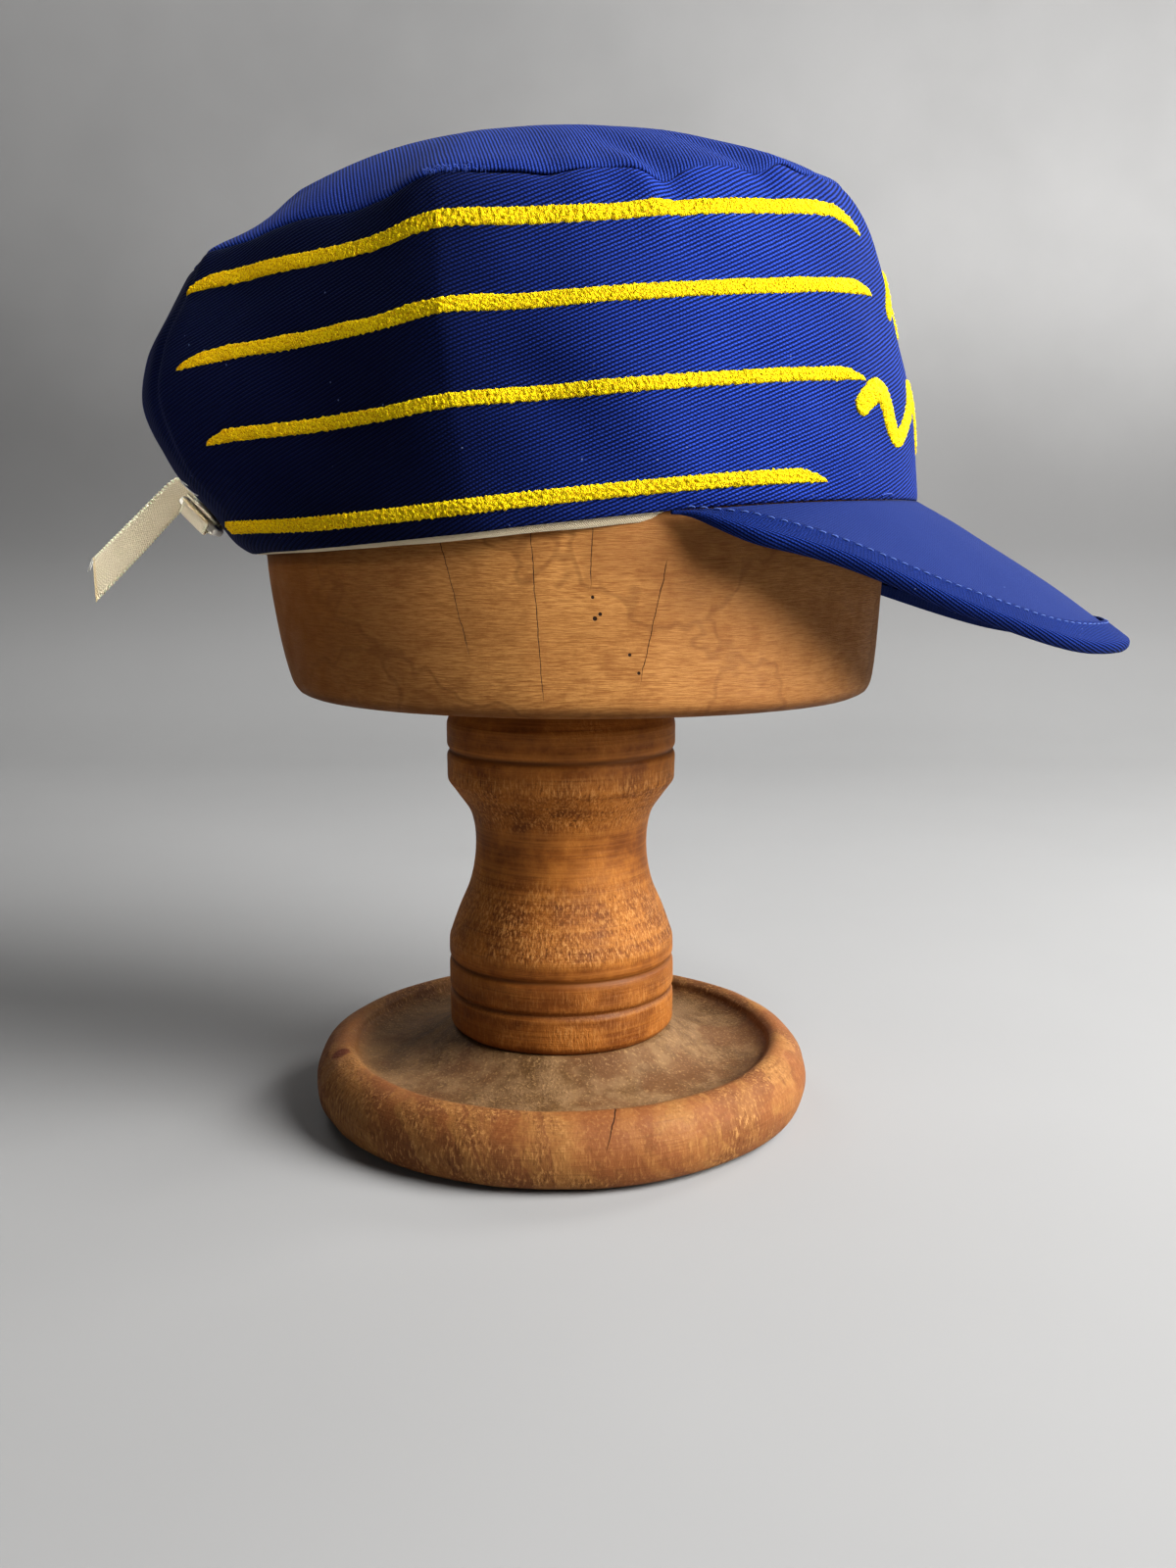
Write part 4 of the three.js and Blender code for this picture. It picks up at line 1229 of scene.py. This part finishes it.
def front_waves(material):
    """Two rows of rounded waves across the front, one finer than the other."""
    for number, row in enumerate(rows_of(FRONT_WAVES), start=1):
        path = np.linspace(-row["reach"], row["reach"], 1200)
        swing = np.sin(2 * math.pi * path / row["wavelength"])
        rise = row["half_height"] * swing * (1 - WAVE_FLATTENING * (path / row["reach"]) ** 2)
        line = columns(path + row["slant"] * rise, row["height"] + rise)
        length = run_length(line)
        even = np.arange(0, length[-1], PRINT_STEP)
        girth, height = points_at(even, length, line).T
        half = row["stroke"] / 2
        reach = half * round_end(np.minimum(even, length[-1] - even), half)
        reach = reach * (1 + STROKE_SWELL * np.sin(even / STROKE_SWELL_RUN))
        print_stroke(f"front_wave_{number}", girth, height, reach, material, WAVE_SEED + 10 * number)


# Strap

def strap_frame():
    """Matrix of the strap's frame in the cap's: across up the crown, along to the far side, then out."""
    origin = crown_form(STRAP_ANGLE, STRAP_HEIGHT)
    out = side_slope(STRAP_ANGLE, STRAP_HEIGHT)
    upward = crown_form(STRAP_ANGLE, STRAP_HEIGHT + 1) - origin
    along = unit(np.cross(out, upward))
    across = np.cross(along, out)
    return columns(across, along, out), origin


STRAP_AXES, STRAP_ORIGIN = strap_frame()


def from_strap(points):
    """Points of the strap's frame, in the frame of the whole object."""
    return in_world(points @ STRAP_AXES.T + STRAP_ORIGIN)


def curve_through(points, shares):
    """Points and directions of a smooth curve through points, at shares of their count."""
    padded = np.concatenate([[2 * points[0] - points[1]], points, [2 * points[-1] - points[-2]]])
    place = shares * (len(points) - 1)
    i = np.minimum(place.astype(int), len(points) - 2)
    p0, p1, p2, p3 = (padded[i + k] for k in range(4))
    gaps = (p1 - p0, p2 - p1, p3 - p2)
    d0, d1, d2 = (np.sqrt(np.linalg.norm(gap, axis=-1))[:, None] for gap in gaps)
    start = ((p1 - p0) / d0 - (p2 - p0) / (d0 + d1) + (p2 - p1) / d1) * d1
    end = ((p2 - p1) / d1 - (p3 - p1) / (d1 + d2) + (p3 - p2) / d2) * d1
    t = (place - i)[:, None]
    rise = t * t * (3 - 2 * t)
    curve = p1 * (1 - rise) + p2 * rise + t * (1 - t) * ((1 - t) * start - t * end)
    return curve, unit(np.gradient(curve, axis=0))


def tape_grids(centres, widths, steps, end_slant):
    """Flat tape with rounded edges through stations in the strap's frame."""
    shares = np.linspace(0, 1, steps + 1)
    curve, run = curve_through(centres, shares)
    stations = np.arange(len(centres))
    width = points_at(shares * stations[-1], stations, widths)
    width = unit(width - run * (width * run).sum(-1, keepdims=True))
    face = np.cross(width, run)
    length = run_length(curve)
    slant = end_slant * smooth_step(length, length[-1] - TAIL_SLANT_SPAN, length[-1]) ** 2
    around = np.radians(np.linspace(0, FULL_TURN, 33))
    across = signed_power(np.cos(around), TAPE_WIDTH_POWER)
    above = signed_power(np.sin(around), TAPE_FACE_POWER)
    swell = 1 + SELVEDGE_SWELL * np.sin(length * 2 * math.pi / SELVEDGE_PITCH)
    half = TAPE_WIDTH / 2 * across * swell[:, None]
    section = curve[:, None] + width[:, None] * half[..., None]
    section = section + face[:, None] * (TAPE_THICKNESS / 2 * above)[None, :, None]
    section = section - run[:, None] * (slant[:, None] * across / 2)[..., None]
    section[:, -1] = section[:, 0]
    pairs = columns(length[-1] - length[:, None], half)
    first, last = end_caps(section)
    grids = [(section, pairs), (first, pairs[:2]), (last, pairs[-2:])]
    return [(from_strap(grid), pair) for grid, pair in grids], section


def strap_tape(material):
    angles = np.linspace(STRAP_FAR_ANGLE, STRAP_NEAR_ANGLE, STRAP_CROWN_STEPS + 1)
    on_crown = crown_form(angles, STRAP_HEIGHT)
    lift = STRAP_LIFT + TAPE_THICKNESS / 2
    lying = on_crown + side_slope(angles, np.full_like(angles, STRAP_HEIGHT)) * lift
    upward = unit(crown_form(angles, STRAP_HEIGHT + 1) - on_crown)
    tail = columns(*(STRAP_TAIL[name] for name in ("across", "along", "out")))
    lean = np.radians(STRAP_TAIL["lean"])
    tail_width = columns(np.cos(lean), np.sin(lean), 0.0)
    centres = np.concatenate([(lying - STRAP_ORIGIN) @ STRAP_AXES, tail])
    widths = np.concatenate([upward @ STRAP_AXES, tail_width])
    grids, section = tape_grids(centres, widths, 480, TAIL_END_SLANT)
    add_grids("strap_tape_cloth", grids, material, "strap_tape", "strap_tape")
    return section


def strap_keeper(material):
    run = columns(0.0, KEEPER_RUN["along"], KEEPER_RUN["out"])
    widths = np.tile((1.0, 0.0, 0.0), (len(run), 1))
    grids, _ = tape_grids(run, widths, 160, 0)
    add_grids("strap_keeper_cloth", grids, material, "strap_tape", "strap_keeper")


def rounded_outline(x, y, width, length, corner):
    points = []
    middles = (
        (x + width - corner, y + corner, -90),
        (x + width - corner, y + length - corner, 0),
        (x + corner, y + length - corner, 90),
        (x + corner, y + corner, 180),
    )
    for middle_x, middle_y, first in middles:
        for turn in np.radians(np.linspace(first, first + 90, 6)):
            points.append((middle_x + corner * math.cos(turn), middle_y + corner * math.sin(turn)))
    return points


def strap_slide(material):
    """Moulded slide with two slots, its edges rounded."""
    curve = bpy.data.curves.new("strap_slide", "CURVE")
    curve.dimensions = "2D"
    curve.fill_mode = "BOTH"
    curve.extrude = (SLIDE_THICKNESS / 2 - SLIDE_ROUNDING) * MM
    curve.bevel_depth = SLIDE_ROUNDING * MM
    curve.bevel_resolution = 3
    curve.offset = -SLIDE_ROUNDING * MM
    slot = (SLIDE_ALONG - 3 * SLIDE_BAR) / 2
    left = -SLIDE_ACROSS / 2
    inner_width = SLIDE_ACROSS - 2 * SLIDE_BAR
    outlines = [rounded_outline(left, -SLIDE_ALONG / 2, SLIDE_ACROSS, SLIDE_ALONG, SLIDE_CORNER)]
    for start in (-SLIDE_ALONG / 2 + SLIDE_BAR, SLIDE_BAR / 2):
        outlines.append(rounded_outline(left + SLIDE_BAR, start, inner_width, slot, slot / 4))
    for outline in outlines:
        spline = curve.splines.new("POLY")
        spline.points.add(len(outline) - 1)
        for point, (x, y) in zip(spline.points, outline):
            point.co = (x * MM, y * MM, 0, 1)
        spline.use_cyclic_u = True
    holder = bpy.data.objects.new("strap_slide_outline", curve)
    mesh = bpy.data.meshes.new_from_object(holder)
    bpy.data.objects.remove(holder)
    points = vertex_places(mesh)
    points[:, 2] += SLIDE_OFF + SLIDE_THICKNESS / 2
    mesh.vertices.foreach_set("co", (from_strap(points) * MM).ravel())
    mesh.update()
    add_piece("strap_slide_moulded", mesh, material, "slide_plastic", "strap_slide")


# Stand

def stand_block(material):
    angles = np.linspace(0, FULL_TURN, 241)
    foot_z, edge_z, top_z = (BLOCK_LEVELS["z"][k] for k in (0, 2, -1))
    heights = np.concatenate([np.linspace(foot_z, edge_z, 9), np.linspace(edge_z, top_z, 60)[1:]])
    angle, z = np.meshgrid(angles, heights)
    level = levels_at(BLOCK_LEVELS, "z", z)
    front, back = level["front"], level["back"]
    middle = (front + back) / 2
    x, y, outward = oval_plan(angle, front, back, level["half_width"], middle, BLOCK_POWER)
    sides = columns(x, y, z)
    sides[..., :2] += outward * ripple(sides, *BLOCK_WEAR)[..., None]
    crown = []
    for share in BLOCK_CROWN_SHARES:
        under = top_form(angles, np.full_like(angles, share))
        under[:, 2] -= CLOTH_THICKNESS + 2 * CLEARANCE
        crown.append(in_world(under))
    foot = np.tile((middle[0, 0], 0, foot_z), (1, len(angles), 1))
    rings = np.concatenate([foot, sides, np.stack(crown)])
    pairs = columns(angles, np.arange(len(rings))[:, None])
    add_grids("stand_block_wood", [(rings, pairs)], material, "block_wood", "stand_block")


def turned(name, outline, hollow, segments, wear, *look):
    """Turned piece from its outline of radius and height, with a share at each point that its material
    reads: painted shade on the column, the dish on the base.
    """
    ends = outline[[0, -1]] * (0, 1)
    outline = np.concatenate([ends[:1], outline, ends[1:]])
    radius, z = outline[:, :1], outline[:, 1:]
    angles = np.linspace(0, FULL_TURN, segments + 1)
    turn = np.radians(angles)
    grid = columns(radius * np.cos(turn), radius * np.sin(turn), z)
    away = np.minimum(1, radius / 10)
    worn = 1 + away * ripple(grid, *wear) / np.maximum(radius, 1)
    grid[..., :2] *= worn[..., None]
    grid[:, -1] = grid[:, 0]
    mesh = mesh_from_grids(name, [(grid, columns(angles, z))])
    place = vertex_places(mesh)
    flat = columns(np.hypot(place[:, 0], place[:, 1]), place[:, 2])
    nearest = np.linalg.norm(flat[:, None] - outline, axis=-1).argmin(-1)
    values = mesh.attributes.new("hollow", "FLOAT", "POINT")
    values.data.foreach_set("value", np.pad(hollow, 1)[nearest].astype(np.float32))
    add_piece(name, mesh, *look)


def along_outline(points, spacing):
    """Points at an even spacing along an outline of straight runs, with its corners softened."""
    points = np.asarray(points, float)
    length = run_length(points)
    at = np.linspace(0, length[-1], int(length[-1] / spacing) + 1)
    even = points_at(at, length, points)
    for _ in range(3):
        even[1:-1] = (even[:-2] + 2 * even[1:-1] + even[2:]) / 4
    return even


def stand_column(material):
    waist_z = np.linspace(COLUMN_WAIST["z"][0], COLUMN_WAIST["z"][-1], 40)
    waist = columns(table_at(COLUMN_WAIST, "z", "radius", waist_z), waist_z).tolist()
    outline = [(COLUMN_RADIUS - COLUMN_EDGE, COLUMN_FOOT_Z), (COLUMN_RADIUS, COLUMN_FOOT_Z + COLUMN_EDGE)]
    for z in LOWER_GROOVES_Z:
        outline += groove(z)
    outline += waist + groove(UPPER_GROOVE_Z)
    outline += [(COLUMN_RADIUS, UPPER_RING_TOP_Z)]
    outline += [(COLUMN_NECK_RADIUS, NECK_Z), (COLUMN_NECK_RADIUS, COLUMN_TOP_Z)]
    even = along_outline(outline, COLUMN_SPACING)
    # Share of painted shade: at the neck under the block, then in the grooves
    hollow = 0.6 * smooth_step(even[:, 1], NECK_Z - 3, NECK_Z + 2)
    for z in (*LOWER_GROOVES_Z, UPPER_GROOVE_Z):
        hollow = np.maximum(hollow, hump(even[:, 1], z, GROOVE_HALF * 0.8))
    look = (material, "turned_wood", "stand_column")
    turned("stand_column_wood", even, hollow, 180, COLUMN_WEAR, *look)


def groove(z):
    return [
        (COLUMN_RADIUS, z - GROOVE_HALF),
        (COLUMN_RADIUS - GROOVE_DEPTH, z),
        (COLUMN_RADIUS, z + GROOVE_HALF),
    ]


def stand_base(material):
    stations = columns(BASE_OUTLINE["radius"], BASE_OUTLINE["z"], 0.0)
    curve, _ = curve_through(stations, np.linspace(0, 1, 120))
    radius, z = curve[:, 0], curve[:, 1]
    dish = np.where(z > DISH_LOWEST, smooth_step(radius, *DISH_RADII), 0)
    look = (material, "turned_wood", "stand_base")
    turned("stand_base_wood", curve[:, :2], dish, 240, BASE_WEAR, *look)


# Loose threads

def loose_threads(blue, white, tail_section):
    """Blue threads at the seam and by the peak, white ones on the side and at the strap's end."""
    rng = np.random.default_rng(FRAY_SEED)
    grids = []
    share = np.linspace(0, 1, 7)[:, None]
    rise = np.array((0, 0, 1)) * (1.6 * share - 1.3 * share**2)
    for _ in range(FRAY_COUNT):
        angle = -rng.uniform(*FRAY_ANGLES)
        foot, out = side_face(angle, seam_height(angle) - rng.uniform(0.0, FRAY_BELOW))
        lean = np.array((rng.uniform(-FRAY_LEAN, FRAY_LEAN), 0, 0))
        length = rng.uniform(*FRAY_LENGTHS)
        path = foot + length * (out * share * 0.75 + lean * share**2 + rise)
        grids.append(tube_grid(in_world(path), FRAY_RADIUS, 5))
    share = np.linspace(0, 1, 15)
    arch = np.sin(share * math.pi)
    girth = girth_at(PEAK_THREAD_ANGLE) + PEAK_THREAD_LENGTH * share
    path, out = side_face(angle_at(girth), 0.9 + 0.9 * arch - 0.4 * share)
    path = path + out * (0.35 + 0.6 * arch)[:, None]
    grids.append(tube_grid(in_world(path), PEAK_THREAD_RADIUS, 5))
    add_grids("loose_blue_threads", grids, blue, "crown_cloth")

    share = np.linspace(0, 1, 21)
    turn = share * 1.5 * math.pi
    loop_angle = LOOP_ANGLE + 0.7 * np.sin(turn) - 1.1 * share
    path, out = side_face(loop_angle, LOOP_HEIGHT - LOOP_HALF_HEIGHT * np.cos(turn) - 0.4 * np.sin(turn))
    path = path + out * (0.3 + 1.1 * np.sin(share * math.pi))[:, None]
    grids = [tube_grid(in_world(path), LOOP_RADIUS, 6)]
    end = tail_section[-1]
    corner = end[np.argmax(end[:, 0])]
    for row in rows_of(TAIL_THREADS):
        run = share * row["length"]
        path = corner + columns(-run * 0.55 - row["aside"], -run * 0.3, run)
        grids.append(tube_grid(from_strap(path), TAIL_THREAD_RADIUS, 5))
    add_grids("loose_white_threads", grids, white, "strap_tape")


# Stage

def area_light(name, place, aim, size, power, spread):
    light = bpy.data.lights.new(name, "AREA")
    light.shape = "DISK"
    light.size = size
    light.energy = power
    light.spread = math.radians(spread)
    holder = add_object(name, light)
    holder.location = place
    holder.rotation_euler = (Vector(aim) - Vector(place)).to_track_quat("-Z", "Y").to_euler()
    holder.visible_camera = False


def stage():
    """Pale floor that sweeps up into a grey backdrop, and the lights; the backdrop is painted paler
    higher up and darker to the left, painted light and shade.
    """
    depth, rise = (np.array(FLOOR_PROFILE[name], float)[:, None] for name in ("depth", "rise"))
    grid = columns(np.linspace(-FLOOR_HALF_WIDTH, FLOOR_HALF_WIDTH, 3), depth, rise)
    mesh = mesh_from_grids("floor", [(grid, grid[..., :2])])
    s = Shader("pale_floor")
    x, _, z = s.split(s.place())
    mottle = s.noise(s.place(), 3.0, 4)
    # Painted light and shade on the backdrop: paler higher up, darker to the left
    wall = s.mix(s.step(z, 0.05, 0.5), colour(0.23, 0.226, 0.222), colour(0.47, 0.465, 0.46))
    wall = s.layers(
        wall,
        (x, 0.4, -0.6, 0.5, (0.06, 0.059, 0.058)),
        (mottle, 0.3, 0.7, 0.16, (0.03, 0.03, 0.03)),
    )
    floor_tone = s.mix(mottle, colour(0.3, 0.298, 0.295), colour(0.34, 0.338, 0.335))
    s.set(base_color=s.mix(s.step(z, 0.0, 0.3), floor_tone, wall), roughness=0.9)
    mesh.materials.append(s.material)
    floor = add_object("floor", mesh)
    glowing_room_wall()
    for name, row in LIGHTS.items():
        area_light(name, *row)
    world = bpy.data.worlds.new("room")
    world.use_nodes = True
    sky = world.node_tree.nodes["Background"]
    sky.inputs["Color"].default_value = colour(0.9, 0.95, 1.0)
    sky.inputs["Strength"].default_value = WORLD_STRENGTH
    bpy.context.scene.world = world


def glowing_room_wall():
    """Glowing pale surroundings, painted light: they are seen but cast no light, are paler higher up, and
    fade out towards the object.
    """
    turn = np.radians(np.linspace(0, FULL_TURN, 181))
    reach = np.minimum(ROOM_REACH, BACKDROP_REACH / np.maximum(np.sin(turn), 0.01))
    share, rise = (np.array(ROOM_PROFILE[name], float)[:, None] for name in ("share", "rise"))
    grid = columns(share * reach * np.cos(turn), share * reach * np.sin(turn), rise)
    mesh = mesh_from_grids("glowing_room_wall", [(grid[:, ::-1], grid[..., :2])])
    s = Shader("glowing_wall")
    x, y, z = s.split(s.place())
    # Painted light: the wall glows, paler higher up
    tone = s.mix(s.step(z, 0.0, 1.4), colour(0.36, 0.358, 0.354), colour(0.5, 0.497, 0.493))
    level = s.joined(X=x, Y=y)
    away = s.node("ShaderNodeVectorMath", {0: level}, operation="LENGTH").outputs["Value"]
    s.set(base_color=colour(0.3, 0.3, 0.3), roughness=0.9, alpha=s.step(away, 1.12, 1.4))
    s.set(emission_color=tone, emission_strength=1.0)
    mesh.materials.append(s.material)
    wall = add_object("glowing_room_wall", mesh)
    wall.visible_diffuse = False
    wall.visible_glossy = False
    wall.visible_shadow = False


def camera():
    """Camera at the photo's place: focal length in pixels of a picture 1600 pixels high."""
    focal_pixels, picture_height, sensor = 1525, 1600, 36
    data = bpy.data.cameras.new("camera")
    data.sensor_width = sensor
    data.lens = focal_pixels / picture_height * sensor
    data.clip_start = 0.01
    holder = add_object("camera", data)
    holder.location = CAMERA_PLACE
    holder.rotation_euler = (math.radians(90 - CAMERA_DIP), 0, 0)
    bpy.context.scene.camera = holder


camera()
stage()
crown_side(twill("side_twill", DEEP_BLUE, ROYAL_BLUE, 18, 1.05, 0.32, painted_shade=0.95))
crown_top(twill("top_twill", colour(0.0035, 0.009, 0.055), colour(0.032, 0.07, 0.35), 97, 0.95, 0.2))
peak_cloth(twill("peak_twill", colour(0.009, 0.017, 0.085), colour(0.022, 0.042, 0.17), 10, 0.6, 0.1))
peak_binding(twill("binding_twill", DARK_BLUE, colour(0.013, 0.046, 0.27), -13, 0.95, 0.4))
binding_stitches(plain_thread("stitch_thread", (0.065, 0.12, 0.38)))
sweatband(woven_tape("white_tape", colour(0.8, 0.78, 0.75), colour(0.95, 0.94, 0.92), 0.6, 1))
cream = woven_tape("cream_tape", colour(0.58, 0.47, 0.3), colour(0.93, 0.83, 0.62), 0.7, 0.6)
tail = strap_tape(cream)
strap_keeper(cream)
strap_slide(cream_plastic())
yellow = yellow_print()
printed_stripes(yellow)
front_waves(yellow)
blue_thread = plain_thread("blue_thread", (0.06, 0.11, 0.42))
white_thread = plain_thread("white_thread", (0.95, 0.92, 0.86))
loose_threads(blue_thread, white_thread, tail)
stand_block(block_wood())
stand_column(column_wood())
stand_base(base_wood())

bpy.context.scene.view_settings.view_transform = "Standard"
bpy.context.scene.view_settings.look = "Medium High Contrast"
